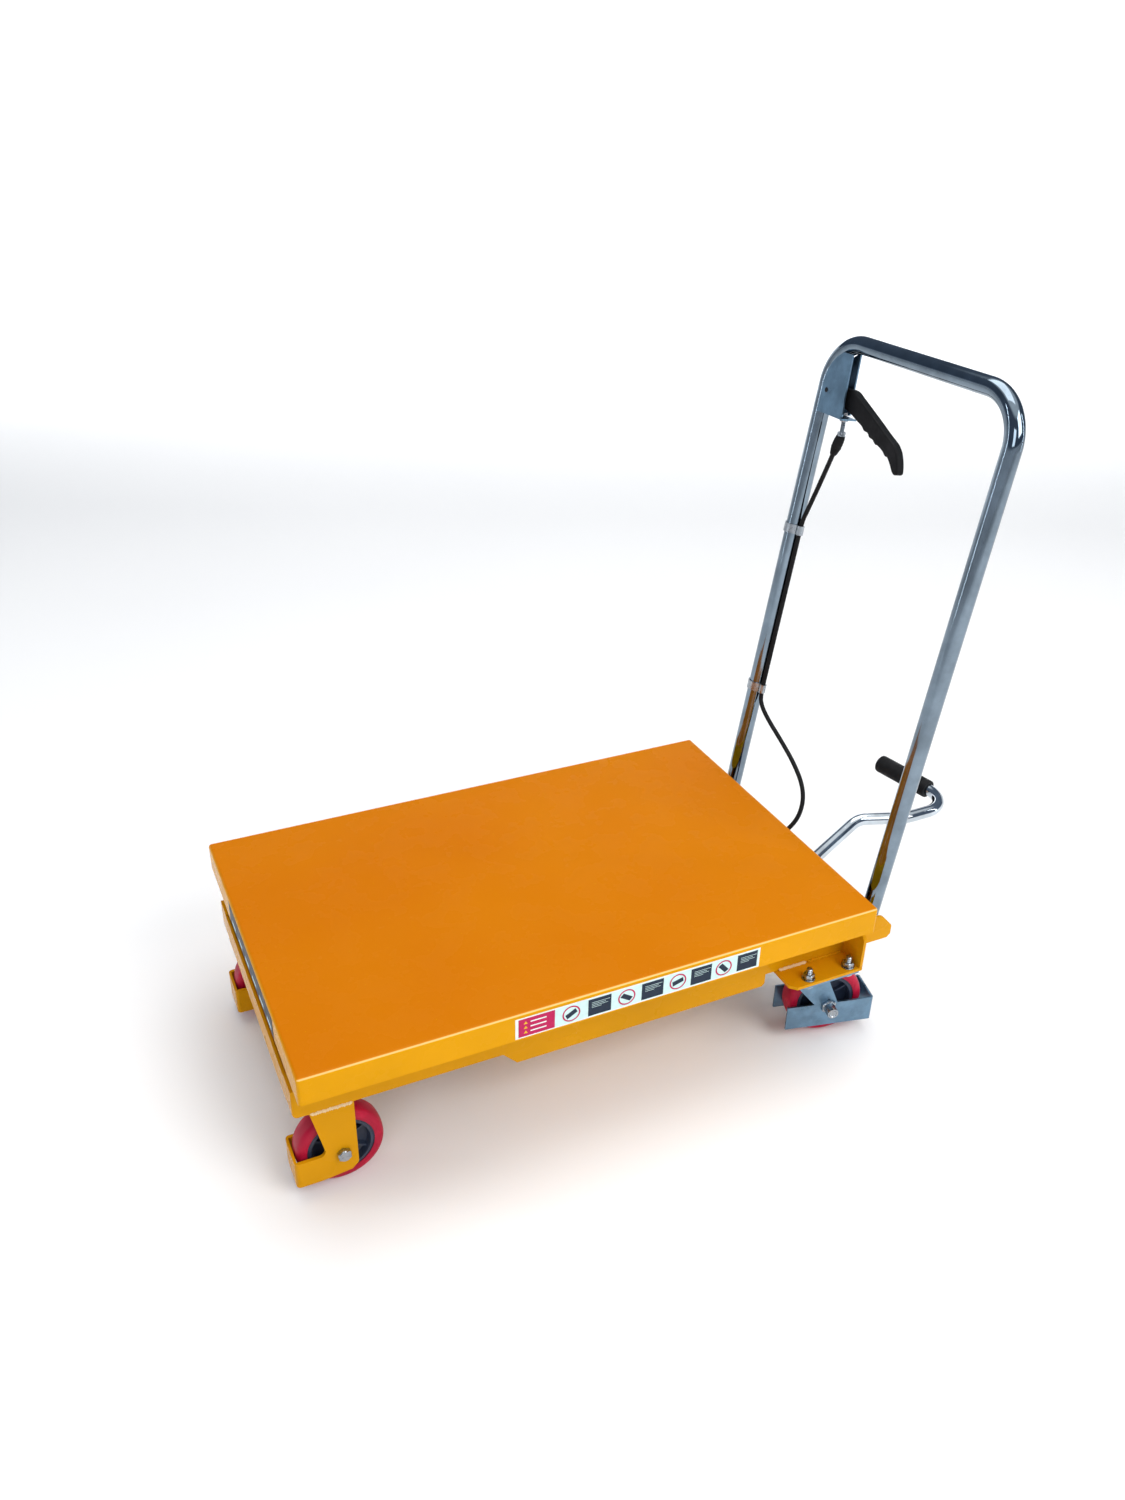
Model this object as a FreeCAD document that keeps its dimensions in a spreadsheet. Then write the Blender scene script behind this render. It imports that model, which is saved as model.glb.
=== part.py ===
"""Hydraulic scissor lift table cart: parametric model, millimetres, +Z up.

The origin lies on the floor under the middle of the cart's outline.  X runs from the fixed
wheels to the handle, Y across the cart, and "left" is the +Y side.  The table stands lowered.
Formulas below name dimensions of the sheet; X is measured from the table's centre, and every
piece is then moved by table_x, the distance from the origin to that centre.
"""
import FreeCAD
import Part
import Sketcher
import math
import os
import re

Vector = FreeCAD.Vector
Rotation = FreeCAD.Rotation
Placement = FreeCAD.Placement

os.makedirs("parts", exist_ok=True)
doc = FreeCAD.newDocument("lift_table")

# ---------------------------------------------------------------- driving dimensions
DIMENSIONS = {
    "table_x": -119.5, "table_length": 700, "table_width": 450, "table_top": 220,
    "table_sheet": 3, "skirt_depth": 35, "skirt_bend": 4,
    "pump_top": 160, "member_bottom": 124, "member_height": 38, "member_sheet": 3, "member_outer": 179,
    "member_flange": 27, "member_front": 350, "member_rear": 418, "flange_rear": 360,
    "arm_length": 640, "arm_width": 30, "arm_sheet": 7, "pivot_x": 320,
    "base_axis": 141, "table_axis": 200, "outer_arm_y": 139, "inner_arm_y": 130,
    "pin_radius": 6, "fit": 0.05, "roller_radius": 13.6, "roller_width": 18, "roller_y": 152,
    "rail_height": 34, "ram_share": 0.75, "cross_radius": 13, "outer_share": 0.15,
    "tray_front": 115, "tray_rear": 234, "tray_depth": 21, "tray_slope": 20, "tray_sheet": 3,
    "cylinder_x": 205, "cylinder_z": 140, "barrel_radius": 25, "barrel_length": 320,
    "ram_radius": 14, "saddle_gap": 12.6,
    "wheel_radius": 50, "wheel_width": 28, "hub_radius": 38, "axle_radius": 6,
    "front_axle": 300, "front_track": 153, "fork_half": 23, "fork_sheet": 4,
    "guard_bottom": 18, "guard_top": 53, "guard_front": 354,
    "bracket_front": 246, "bracket_rear": 348, "bracket_outer": 216, "bracket_inner": 100,
    "bracket_sheet": 4, "gusset_top": 172,
    "caster_x": 304.5, "caster_y": 161, "caster_trail": 28, "caster_turn": 12.8,
    "caster_plate_x": 80, "caster_plate_y": 108, "caster_hole_x": 58, "caster_hole_y": 90,
    "caster_plate_sheet": 3.5, "guard_back": 54, "guard_ahead": 62,
    "handle_x": 399.8, "handle_lean": 8.27, "handle_half": 164.8, "handle_radius": 11,
    "handle_wall": 2, "handle_top": 793.5, "handle_bend": 55, "handle_foot": 128,
    "cable_radius": 3, "lever_pin_y": 147.5, "lever_pin_z": 733,
    "pedal_x": 262, "pedal_y": -54, "pedal_z": 140, "pedal_radius": 8, "sleeve_radius": 12.5,
}
sheet = doc.addObject("Spreadsheet::Sheet", "dims")
for row, (alias, value) in enumerate(DIMENSIONS.items(), start=1):
    sheet.set("A%d" % row, alias)
    sheet.set("B%d" % row, str(value))
    sheet.setAlias("B%d" % row, alias)
doc.recompute()

WORD = re.compile(r"[a-z_]{3,}")
FUNCTIONS = {"sin", "cos", "tan", "asin", "sqrt", "deg"}
PLACES = ("x", "y", "z")
TURNS = {"x": Rotation(Vector(0, 1, 0), 90), "y": Rotation(Vector(1, 0, 0), -90), "z": Rotation()}
parts = []


def formula(text):
    """Point each dimension named in a formula at its cell of the sheet."""
    return WORD.sub(lambda m: m.group() if m.group() in FUNCTIONS else "dims." + m.group(), str(text))


def worth(text):
    """Work out a formula now."""
    value = sheet.evalExpression(formula(text))
    return float(getattr(value, "Value", value))


def bind(target, prop, text):
    target.setExpression(prop, formula(text))


def place(target, point):
    """Tie a piece's position to three formulas."""
    for text, axis in zip(point, PLACES):
        bind(target, ".Placement.Base." + axis, text)


def register(piece, label, x="0", y="0", z="0"):
    """Name a finished piece and move it from the table's centre to the model's frame."""
    piece.Label = label
    place(piece, ("table_x + (%s)" % x, y, z))
    parts.append(piece)
    return piece


# ---------------------------------------------------------------- building blocks
def block(name, low, high):
    """A box between two corners given as formulas."""
    box = doc.addObject("Part::Box", name)
    for prop, start, end in zip(("Length", "Width", "Height"), low, high):
        bind(box, prop, "(%s) - (%s)" % (end, start))
    place(box, low)
    return box


def rod(name, radius, length, start, axis):
    """A cylinder from a start point along +axis."""
    cylinder = doc.addObject("Part::Cylinder", name)
    cylinder.Placement = Placement(Vector(), TURNS[axis])
    bind(cylinder, "Radius", radius)
    bind(cylinder, "Height", length)
    place(cylinder, start)
    return cylinder


def hexagon(name, radius, height, start, axis):
    """A hexagonal prism from a start point along +axis; radius reaches its corners."""
    prism = doc.addObject("Part::Prism", name)
    prism.Polygon = 6
    prism.Placement = Placement(Vector(), TURNS[axis])
    bind(prism, "Circumradius", radius)
    bind(prism, "Height", height)
    place(prism, start)
    return prism


def fuse(name, shapes):
    union = doc.addObject("Part::MultiFuse", name)
    union.Shapes = shapes
    union.Refine = True
    return union


def group(name, shapes):
    """Separate solids that share one node."""
    compound = doc.addObject("Part::Compound", name)
    compound.Links = shapes
    return compound


def cut(name, base, tools):
    result = doc.addObject("Part::Cut", name)
    result.Base = base
    result.Tool = tools[0] if len(tools) == 1 else fuse(name + "_tools", tools)
    result.Refine = True
    return result


def free_shape(name, shape):
    """A piece whose shape no primitive or sketch gives, such as a tube bent in space."""
    piece = doc.addObject("Part::Feature", name)
    piece.Shape = shape
    return piece


# Index of the axis that each origin plane faces, and of the two axes it is drawn in.
PLANES = {"XY_Plane": (2, 0, 1), "XZ_Plane": (1, 0, 2), "YZ_Plane": (0, 1, 2)}


def new_sketch(body, name, role):
    sketch = body.newObject("Sketcher::SketchObject", name)
    planes = [feature for feature in body.Origin.OriginFeatures if feature.Role == role]
    sketch.AttachmentSupport = [(planes[0], "")]
    sketch.MapMode = "FlatFace"
    sketch.Visibility = False
    return sketch


def draw(sketch, points):
    """Draw a closed outline whose corners are pairs of formulas and stay tied to the sheet."""
    first = sketch.GeometryCount
    values = [tuple(worth(text) for text in pair) for pair in points]
    count = len(points)
    for index in range(count):
        start = Vector(*values[index], 0)
        end = Vector(*values[(index + 1) % count], 0)
        sketch.addGeometry(Part.LineSegment(start, end))
    for index in range(count):
        following = first + (index + 1) % count
        sketch.addConstraint(Sketcher.Constraint("Coincident", first + index, 2, following, 1))
    for index in range(count):
        for kind, text, value in zip(("DistanceX", "DistanceY"), points[index], values[index]):
            pin = Sketcher.Constraint(kind, -1, 1, first + index, 1, value)
            number = sketch.addConstraint(pin)
            bind(sketch, "Constraints[%d]" % number, text)


def draw_circle(sketch, center, radius):
    """Draw a circle tied to the sheet by its centre and radius."""
    spot = Vector(worth(center[0]), worth(center[1]), 0)
    circle = sketch.addGeometry(Part.Circle(spot, Vector(0, 0, 1), worth(radius)))
    pins = [Sketcher.Constraint("Radius", circle, worth(radius))]
    pins.append(Sketcher.Constraint("DistanceX", -1, 1, circle, 3, spot.x))
    pins.append(Sketcher.Constraint("DistanceY", -1, 1, circle, 3, spot.y))
    for pin, text in zip(pins, (radius,) + tuple(center)):
        number = sketch.addConstraint(pin)
        bind(sketch, "Constraints[%d]" % number, text)


def corner_edge(shape, role, corner):
    """Name the straight edge that crosses the drawing plane nearest to a corner."""
    normal, across, up = PLANES[role]
    best, name = None, None
    for number, edge in enumerate(shape.Edges, start=1):
        if not isinstance(edge.Curve, Part.Line):
            continue
        if abs(edge.tangentAt(edge.FirstParameter)[normal]) < 0.99:
            continue
        middle = edge.CenterOfMass
        gap = math.hypot(middle[across] - corner[0], middle[up] - corner[1])
        if best is None or gap < best:
            best, name = gap, "Edge%d" % number
    return name


def plate(name, role, points, low, high, holes=(), rounds=()):
    """A flat plate from an outline, between two places on the axis that the outline faces.

    holes lists (center, radius); rounds lists (corner number, radius) for the outline's corners.
    """
    body = doc.addObject("PartDesign::Body", name)
    sketch = new_sketch(body, name + "_outline", role)
    bind(sketch, ".AttachmentOffset.Base.z", "-(%s)" % high if role == "XZ_Plane" else low)
    draw(sketch, points)
    for center, radius in holes:
        draw_circle(sketch, center, radius)
    pad = body.newObject("PartDesign::Pad", name + "_pad")
    pad.Profile = sketch
    bind(pad, "Length", "(%s) - (%s)" % (high, low))
    doc.recompute()
    for corner, radius in rounds:
        spot = [worth(text) for text in points[corner]]
        base = body.Tip
        fillet = body.newObject("PartDesign::Fillet", "%s_round_%d" % (name, corner))
        fillet.Base = (base, [corner_edge(base.Shape, role, spot)])
        fillet.Radius = radius
        doc.recompute()
    return body


def turned(name, profile, axis="y"):
    """A turned piece: its profile lists (radius, place along the axis) corners."""
    body = doc.addObject("PartDesign::Body", name)
    sketch = new_sketch(body, name + "_profile", "XY_Plane")
    draw(sketch, profile)
    turn = body.newObject("PartDesign::Revolution", name + "_turn")
    turn.Profile = sketch
    turn.ReferenceAxis = (sketch, ["V_Axis"])
    turn.Angle = 360
    body.Placement = Placement(Vector(), {"y": Rotation(), "z": Rotation(Vector(1, 0, 0), 90)}[axis])
    return body


def rounded_path(corners, radii):
    """A wire of straight runs joined by tangent arcs at its inner corners."""
    edges = []
    start = corners[0]
    for before, corner, after, radius in zip(corners, corners[1:], corners[2:], radii):
        back = (before - corner).normalize()
        ahead = (after - corner).normalize()
        half = (math.pi - back.getAngle(ahead)) / 2
        reach = radius * math.tan(half)
        middle = (back + ahead).normalize() * (radius / math.cos(half) - radius)
        entry, exit_point = corner + back * reach, corner + ahead * reach
        edges.append(Part.LineSegment(start, entry).toShape())
        edges.append(Part.Arc(entry, corner + middle, exit_point).toShape())
        start = exit_point
    edges.append(Part.LineSegment(start, corners[-1]).toShape())
    return Part.Wire(edges)


def sweep(wire, radius, bore=0):
    """A round bar, or a tube with a bore, along a wire."""
    start = wire.Edges[0]
    spot, direction = start.valueAt(start.FirstParameter), start.tangentAt(start.FirstParameter)
    shape = None
    for each in (radius, bore):
        if not each:
            continue
        ring = Part.Wire([Part.Circle(spot, direction, each).toShape()])
        solid = wire.makePipeShell([ring], True, True)
        shape = solid if shape is None else shape.cut(solid)
    return shape


SIDES = (("left", 1), ("right", -1))


def across(side, low, high):
    """The lower and higher Y formulas of a stretch given for the left side."""
    return (low, high) if side > 0 else ("-(%s)" % high, "-(%s)" % low)

# ---------------------------------------------------------------- chassis
MEMBER_TOP = "member_bottom + member_height"


def side_member(name, side):
    """A channel open towards the middle; its web runs on past the flanges to hold the handle."""
    outline = [
        ("-member_front", "member_bottom"), ("member_rear - 5", "member_bottom"),
        ("member_rear", "member_bottom + 5"), ("member_rear", MEMBER_TOP + " - 20"),
        ("member_rear - 18", MEMBER_TOP), ("-member_front", MEMBER_TOP),
    ]
    low, high = across(side, "member_outer - member_sheet", "member_outer")
    web = plate(name + "_web", "XZ_Plane", outline, low, high, rounds=((0, 6), (3, 8), (4, 12)))
    low, high = across(side, "member_outer - member_sheet - member_flange", "member_outer - member_sheet")
    lower = block(name + "_lower", ("-member_front + 6", low, "member_bottom"),
                  ("flange_rear", high, "member_bottom + member_sheet"))
    upper = block(name + "_upper", ("-member_front", low, MEMBER_TOP + " - member_sheet"),
                  ("flange_rear", high, MEMBER_TOP))
    return fuse(name, [web, lower, upper])


def front_cross_member():
    """An angle across the front end of the side members."""
    inner = "member_outer - member_sheet"
    wall = block("front_wall", ("-member_front", "-(%s)" % inner, "member_bottom + member_sheet"),
                 ("-member_front + member_sheet", inner, MEMBER_TOP + " - member_sheet"))
    shelf_y = inner + " - member_flange"
    shelf = block("front_shelf", ("-member_front", "-(%s)" % shelf_y, "member_bottom"),
                  ("-member_front + 24", shelf_y, "member_bottom + member_sheet"))
    return fuse("front_cross_member", [wall, shelf])


def pump_tray():
    """A folded tray under the side members: trapezoid sides, a floor and the cylinder's lugs."""
    bottom = "member_bottom - tray_depth"
    outline = [
        ("-tray_front", "member_bottom"), ("-tray_front + tray_slope", bottom),
        ("tray_rear - 4", bottom), ("tray_rear", bottom + " + 4"), ("tray_rear", "member_bottom"),
    ]
    pieces = []
    for word, side in SIDES:
        low, high = across(side, "member_outer - 2 * member_sheet", "member_outer - member_sheet")
        pieces.append(plate("tray_side_" + word, "XZ_Plane", outline, low, high))
        lug_low, lug_high = across(side, "barrel_radius + 2", "barrel_radius + 8")
        lug = [("cylinder_x - 22", bottom), ("cylinder_x + 22", bottom),
               ("cylinder_x + 12", "cylinder_z + 12"), ("cylinder_x - 12", "cylinder_z + 12")]
        bore = [(("cylinder_x", "cylinder_z"), "pin_radius + fit")]
        corners = ((2, 8), (3, 8))
        pieces.append(plate("lug_" + word, "XZ_Plane", lug, lug_low, lug_high, holes=bore, rounds=corners))
    side_y = "member_outer - member_sheet"
    pieces.append(block("tray_floor", ("-tray_front + tray_slope", "-(%s)" % side_y, bottom),
                        ("tray_rear - 4", side_y, bottom + " + tray_sheet")))
    return fuse("pump_tray", pieces)


def caster_bracket(name, side):
    """A floor plate on the side member's bottom edge with its rear end folded up as a gusset."""
    floor = "member_bottom - bracket_sheet"
    far, near = "bracket_outer", "bracket_inner"
    outline = [("bracket_front", near), ("bracket_rear", near), ("bracket_rear", far),
               ("bracket_front + 8", far), ("bracket_front", "bracket_outer - 8")]
    holes = []
    for along in ("- caster_hole_x / 2", "+ caster_hole_x / 2"):
        for sideways in ("- caster_hole_y / 2", "+ caster_hole_y / 2"):
            spot = ("caster_x " + along, "caster_y " + sideways)
            holes.append((spot, "4.2"))
    if side < 0:
        outline = [(x, "-(%s)" % y) for x, y in outline]
        holes = [((x, "-(%s)" % y), r) for (x, y), r in holes]
    base = plate(name + "_floor", "XY_Plane", outline, floor, "member_bottom", holes=holes)
    wall = [("member_outer", floor), ("bracket_outer", floor), ("bracket_outer", "gusset_top - 6"),
            ("bracket_outer - 6", "gusset_top"), ("member_outer", "gusset_top")]
    wall = [(y if side > 0 else "-(%s)" % y, z) for y, z in wall]
    gusset = plate(name + "_gusset", "YZ_Plane", wall, "bracket_rear - bracket_sheet", "bracket_rear",
                   rounds=((1, 7),))
    return fuse(name, [base, gusset])


def bend_edges(piece, name, x, radius):
    """Round the upright edges of a piece that lie at x, where its strip is bent."""
    doc.recompute()
    bent = doc.addObject("Part::Fillet", name)
    bent.Base = piece
    folds = []
    for number, edge in enumerate(piece.Shape.Edges, start=1):
        limits = edge.BoundBox
        if abs(limits.XMin - x) < 0.01 and limits.XLength < 0.01 and limits.ZLength > 10:
            folds.append((number, radius, radius))
    bent.Edges = folds
    return bent


def front_fork(name, side):
    """A fork plate each side of the wheel, joined by a top plate and a toe guard in front."""
    track = "front_track"
    outline = [
        ("-front_axle - 33", "member_bottom"), ("-front_axle - 18", "guard_top"),
        ("-guard_front", "guard_top"), ("-guard_front", "guard_bottom"),
        ("-front_axle - 25", "guard_bottom"), ("-front_axle + 8", "guard_bottom + 4"),
        ("-front_axle + 16", "guard_bottom + 12"), ("-front_axle + 16", "member_bottom"),
    ]
    bore = [(("-front_axle", "wheel_radius"), "axle_radius + fit")]
    pieces = []
    cheeks = (("outer", "fork_half - fork_sheet", "fork_half"),
              ("inner", "-fork_half", "fork_sheet - fork_half"))
    for word, start, end in cheeks:
        low, high = across(side, "%s + %s" % (track, start), "%s + %s" % (track, end))
        pieces.append(plate("%s_%s" % (name, word), "XZ_Plane", outline, low, high, holes=bore,
                            rounds=((1, 7), (6, 8))))
    low, high = across(side, track + " - fork_half", track + " + fork_half")
    pieces.append(block(name + "_toe", ("-guard_front", low, "guard_bottom"),
                        ("-guard_front + fork_sheet - 1", high, "guard_top")))
    pieces.append(block(name + "_top", ("-front_axle - 33", low, "member_bottom - fork_sheet"),
                        ("-front_axle + 16", high, "member_bottom")))
    return bend_edges(fuse(name + "_solid", pieces), name, -worth("guard_front"), 5)


for word, side in SIDES:
    register(side_member("side_member_" + word, side), "side_member_" + word)
    register(caster_bracket("caster_bracket_" + word, side), "caster_bracket_" + word)
    register(front_fork("front_fork_" + word, side), "front_fork_" + word)
register(front_cross_member(), "front_cross_member")
register(pump_tray(), "pump_tray")

# ---------------------------------------------------------------- table
HALF_L, HALF_W = "table_length / 2", "table_width / 2"


def table_top():
    """A flat sheet with all four edges folded down as a skirt."""
    outer = block("table_block", ("-" + HALF_L, "-" + HALF_W, "table_top - skirt_depth"),
                  (HALF_L, HALF_W, "table_top"))
    doc.recompute()
    softened = doc.addObject("Part::Fillet", "table_softened")
    softened.Base = outer
    folds = []
    for number, edge in enumerate(outer.Shape.Edges, start=1):
        middle = edge.CenterOfMass
        on_top = abs(middle.z - worth("table_top")) < 0.01
        upright = abs(edge.tangentAt(edge.FirstParameter).z) > 0.99
        if on_top or upright:
            folds.append((number, worth("skirt_bend"), worth("skirt_bend")))
    softened.Edges = folds
    inside = block("table_inside",
                   ("-%s + table_sheet" % HALF_L, "-%s + table_sheet" % HALF_W,
                     "table_top - skirt_depth - 1"),
                   ("%s - table_sheet" % HALF_L, "%s - table_sheet" % HALF_W, "table_top - table_sheet"))
    return cut("table_top_sheet", softened, [inside])


def table_rail(name, side):
    """A channel under the table in which the upper roller runs."""
    top, bottom = "table_top - table_sheet", "table_top - table_sheet - rail_height"
    reach = "member_front - 5"
    y_web, y_tip = "member_outer - member_sheet", "member_outer - member_sheet - member_flange"
    low, high = across(side, y_web, "member_outer")
    web = block(name + "_web", ("-(%s)" % reach, low, bottom), (reach, high, top))
    low, high = across(side, y_tip, y_web)
    lower = block(name + "_lower", ("-(%s)" % reach, low, bottom), (reach, high, bottom + " + table_sheet"))
    upper = block(name + "_upper", ("-(%s)" % reach, low, top + " - table_sheet"), (reach, high, top))
    return fuse(name, [web, lower, upper])


register(table_top(), "table_top")
for word, side in SIDES:
    register(table_rail("table_rail_" + word, side), "table_rail_" + word)

# ---------------------------------------------------------------- scissor arms
RISE = "(table_axis - base_axis)"
RUN = "sqrt(arm_length * arm_length - %s * %s)" % (RISE, RISE)
LOWERED = "asin(%s / arm_length)" % RISE


def arm(name, side, inner_y, holes_at, up):
    """A flat bar with round ends and bores, lying in the lowered position."""
    body = doc.addObject("PartDesign::Body", name)
    sketch = new_sketch(body, name + "_outline", "XZ_Plane")
    low, high = across(side, inner_y, inner_y + " + arm_sheet")
    bind(sketch, ".AttachmentOffset.Base.z", "-(%s)" % high)
    half, length = worth("arm_width") / 2, worth("arm_length")
    sketch.addGeometry(Part.LineSegment(Vector(0, half, 0), Vector(length, half, 0)))
    far_circle = Part.Circle(Vector(length, 0, 0), Vector(0, 0, 1), half)
    sketch.addGeometry(Part.ArcOfCircle(far_circle, -math.pi / 2, math.pi / 2))
    sketch.addGeometry(Part.LineSegment(Vector(length, -half, 0), Vector(0, -half, 0)))
    near_circle = Part.Circle(Vector(0, 0, 0), Vector(0, 0, 1), half)
    sketch.addGeometry(Part.ArcOfCircle(near_circle, math.pi / 2, 3 * math.pi / 2))
    for first, end, second, start in ((0, 2, 1, 2), (1, 1, 2, 1), (2, 2, 3, 2), (3, 1, 0, 1)):
        sketch.addConstraint(Sketcher.Constraint("Tangent", first, end, second, start))
    sketch.addConstraint(Sketcher.Constraint("Coincident", 3, 3, -1, 1))
    sketch.addConstraint(Sketcher.Constraint("PointOnObject", 1, 3, -1))
    length_pin = sketch.addConstraint(Sketcher.Constraint("DistanceX", -1, 1, 1, 3, length))
    bind(sketch, "Constraints[%d]" % length_pin, "arm_length")
    width_pin = sketch.addConstraint(Sketcher.Constraint("Radius", 1, half))
    bind(sketch, "Constraints[%d]" % width_pin, "arm_width / 2")
    for share, radius in holes_at:
        draw_circle(sketch, ("arm_length * " + share, "0"), radius)
    pad = body.newObject("PartDesign::Pad", name + "_pad")
    pad.Profile = sketch
    bind(pad, "Length", "(%s) - (%s)" % (high, low))
    sign = -1 if up else 1
    body.Placement = Placement(Vector(), Rotation(Vector(0, 1, 0), sign * worth(LOWERED)))
    return body


PIN_BORE = "pin_radius + fit"
OUTER_BORES = (("0", PIN_BORE), ("0.5", PIN_BORE), ("1", PIN_BORE), ("outer_share", "cross_radius"))
INNER_BORES = (
    ("0", PIN_BORE), ("0.5", "pin_radius"), ("1", "pin_radius"), ("(1 - ram_share)", "cross_radius"),
)


def on_outer(share):
    """A point of the outer arm, by its share of the way up from the fixed end."""
    return "-pivot_x + %s * (%s)" % (RUN, share), "base_axis + %s * (%s)" % (RISE, share)


def on_inner(share):
    """A point of the inner arm, by its share of the way up from the roller."""
    return "-pivot_x + %s * (1 - (%s))" % (RUN, share), "base_axis + %s * (%s)" % (RISE, share)


for word, side in SIDES:
    outer = arm("outer_arm_" + word, side, "outer_arm_y", OUTER_BORES, True)
    register(outer, "outer_arm_" + word, "-pivot_x", "0", "base_axis")
    bar = arm("inner_arm_bar_" + word, side, "inner_arm_y", INNER_BORES, False)
    place(bar, ("-pivot_x", "0", "table_axis"))
    register(bar, "inner_arm_" + word)
    place(bar, ("table_x - pivot_x", "0", "table_axis"))


def crossing(name, radius, half, point, bore):
    """A round tube or bar across the cart."""
    x, z = point
    outer = rod(name + "_outer", radius, "2 * (%s)" % half, (x, "-(%s)" % half, z), "y")
    if bore is None:
        return outer
    inner = rod(name + "_bore", bore, "2 * (%s) + 2" % half, (x, "-(%s) - 1" % half, z), "y")
    return cut(name, outer, [inner])


ARM_OUTER = "outer_arm_y + arm_sheet"
CROSS_BORE = "cross_radius - 3"
register(
    crossing("outer_cross_tube", "cross_radius", ARM_OUTER, on_outer("outer_share"), CROSS_BORE),
    "outer_cross_tube",
)
register(
    crossing("inner_cross_tube", "cross_radius", "inner_arm_y + arm_sheet", on_inner("ram_share"),
             CROSS_BORE),
    "inner_cross_tube",
)
rear_x, rear_z = on_outer("1")
ROLLER_REACH = "roller_y + roller_width + 3"
register(
    crossing("table_roller_axle", "pin_radius", ROLLER_REACH, (rear_x, rear_z), None),
    "table_roller_axle", rear_x, "-(%s)" % ROLLER_REACH, rear_z,
)


def pin_pair(name, low, high, point, radius="pin_radius"):
    """One pin on each side of the cart."""
    x, z = point
    pins = []
    for word, side in SIDES:
        start, end = across(side, low, high)
        pins.append(rod("%s_%s" % (name, word), radius, "(%s) - (%s)" % (end, start), (x, start, z), "y"))
    return group(name, pins)


WEB_INNER = "member_outer - member_sheet"
register(
    pin_pair("base_pivot_pins", "inner_arm_y + arm_sheet", WEB_INNER, on_outer("0")),
    "base_pivot_pins",
)
register(pin_pair("table_pivot_pins", "inner_arm_y - 3", WEB_INNER, on_inner("1")), "table_pivot_pins")
register(pin_pair("centre_pins", "inner_arm_y - 3", ARM_OUTER + " + 2", on_inner("0.5")), "centre_pins")
register(
    pin_pair("base_roller_pins", "inner_arm_y", ROLLER_REACH, on_inner("0")),
    "base_roller_pins",
)


def roller(name, side, point):
    """A roller with a running bore."""
    x, z = point
    low, high = across(side, "roller_y", "roller_y + roller_width")
    body = rod(name + "_body", "roller_radius", "roller_width", (x, low, z), "y")
    bore = rod(name + "_bore", PIN_BORE, "roller_width + 2", (x, "(%s) - 1" % low, z), "y")
    return cut(name, body, [bore])


for word, side in SIDES:
    register(roller("table_roller_" + word, side, on_outer("1")), "table_roller_" + word)
    register(roller("base_roller_" + word, side, on_inner("0")), "base_roller_" + word)

# ---------------------------------------------------------------- wheels
def tyre(name):
    """A tyre with rounded shoulders round its hub."""
    half = "wheel_width / 2"
    return turned(name, [
        ("hub_radius", "-" + half), ("wheel_radius - 5", "-" + half),
        ("wheel_radius - 1.5", "-%s + 3" % half),
        ("wheel_radius", "-%s + 8" % half), ("wheel_radius", half + " - 8"),
        ("wheel_radius - 1.5", half + " - 3"), ("wheel_radius - 5", half), ("hub_radius", half)])


def hub(name):
    """A dished hub with a rim and a long boss on its axle."""
    rim, web, boss = "wheel_width / 2 - 1", "4", "wheel_width / 2 + 3"
    bore = "axle_radius + fit"
    return turned(name, [
        (bore, "-(%s)" % boss), ("12", "-(%s)" % boss), ("14", "-" + web), ("hub_radius - 6", "-" + web),
        ("hub_radius - 4", "-(%s)" % rim), ("hub_radius", "-(%s)" % rim), ("hub_radius", rim),
        ("hub_radius - 4", rim), ("hub_radius - 6", web), ("14", web), ("12", boss), (bore, boss)])


def axle_bolt(name, start, reach, sleeve_end):
    """A bolt through a fork: hexagon head outside, nut inside; one caster has a round sleeve nut."""
    x, y, z = start
    near, far = "%s - (%s)" % (y, reach), "%s + %s" % (y, reach)
    pieces = [rod(name + "_shank", "axle_radius", "2 * (%s) + 16" % reach, (x, near + " - 8", z), "y")]
    low, high = near + " - 7", far
    if sleeve_end:
        pieces.append(rod(name + "_sleeve", "axle_radius + 1.5", "16", (x, near + " - 16", z), "y"))
    else:
        pieces.append(hexagon(name + "_nut", "9.5", "7", (x, low, z), "y"))
    pieces.append(hexagon(name + "_head", "9.5", "7", (x, high, z), "y"))
    return fuse(name, pieces)


bolts = []
for word, side in SIDES:
    y = "front_track * %d" % side
    start = ("-front_axle", y, "wheel_radius")
    bolts.append(axle_bolt("front_axle_bolt_" + word, start, "fork_half", False))
    register(tyre("front_tyre_" + word), "front_tyre_" + word, "-front_axle", y, "wheel_radius")
    register(hub("front_hub_" + word), "front_hub_" + word, "-front_axle", y, "wheel_radius")
register(group("front_axle_bolts", bolts), "front_axle_bolts")


# ---------------------------------------------------------------- swivel casters
def caster_plates():
    """The two fixed caster plates with their raceway rings under the floor brackets."""
    top = "member_bottom - bracket_sheet"
    pieces = []
    for word, side in SIDES:
        y = "caster_y * %d" % side
        base = block("caster_plate_base_" + word,
                     ("caster_x - caster_plate_x / 2", "%s - caster_plate_y / 2" % y,
                       top + " - caster_plate_sheet"),
                     ("caster_x + caster_plate_x / 2", "%s + caster_plate_y / 2" % y, top))
        ring = rod("caster_ring_" + word, "24", "5", ("caster_x", y, top + " - caster_plate_sheet - 5"), "z")
        holes = []
        for along in (-1, 1):
            for sideways in (-1, 1):
                holes.append(rod("caster_hole_%s_%d_%d" % (word, along, sideways), "4.2", "12",
                                 ("caster_x + %d * caster_hole_x / 2" % along,
                                  "%s + %d * caster_hole_y / 2" % (y, sideways), top + " - 8"), "z"))
        pieces.append(cut("caster_top_plate_" + word, fuse("caster_top_" + word, [base, ring]), holes))
    return group("caster_plates", pieces)


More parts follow.
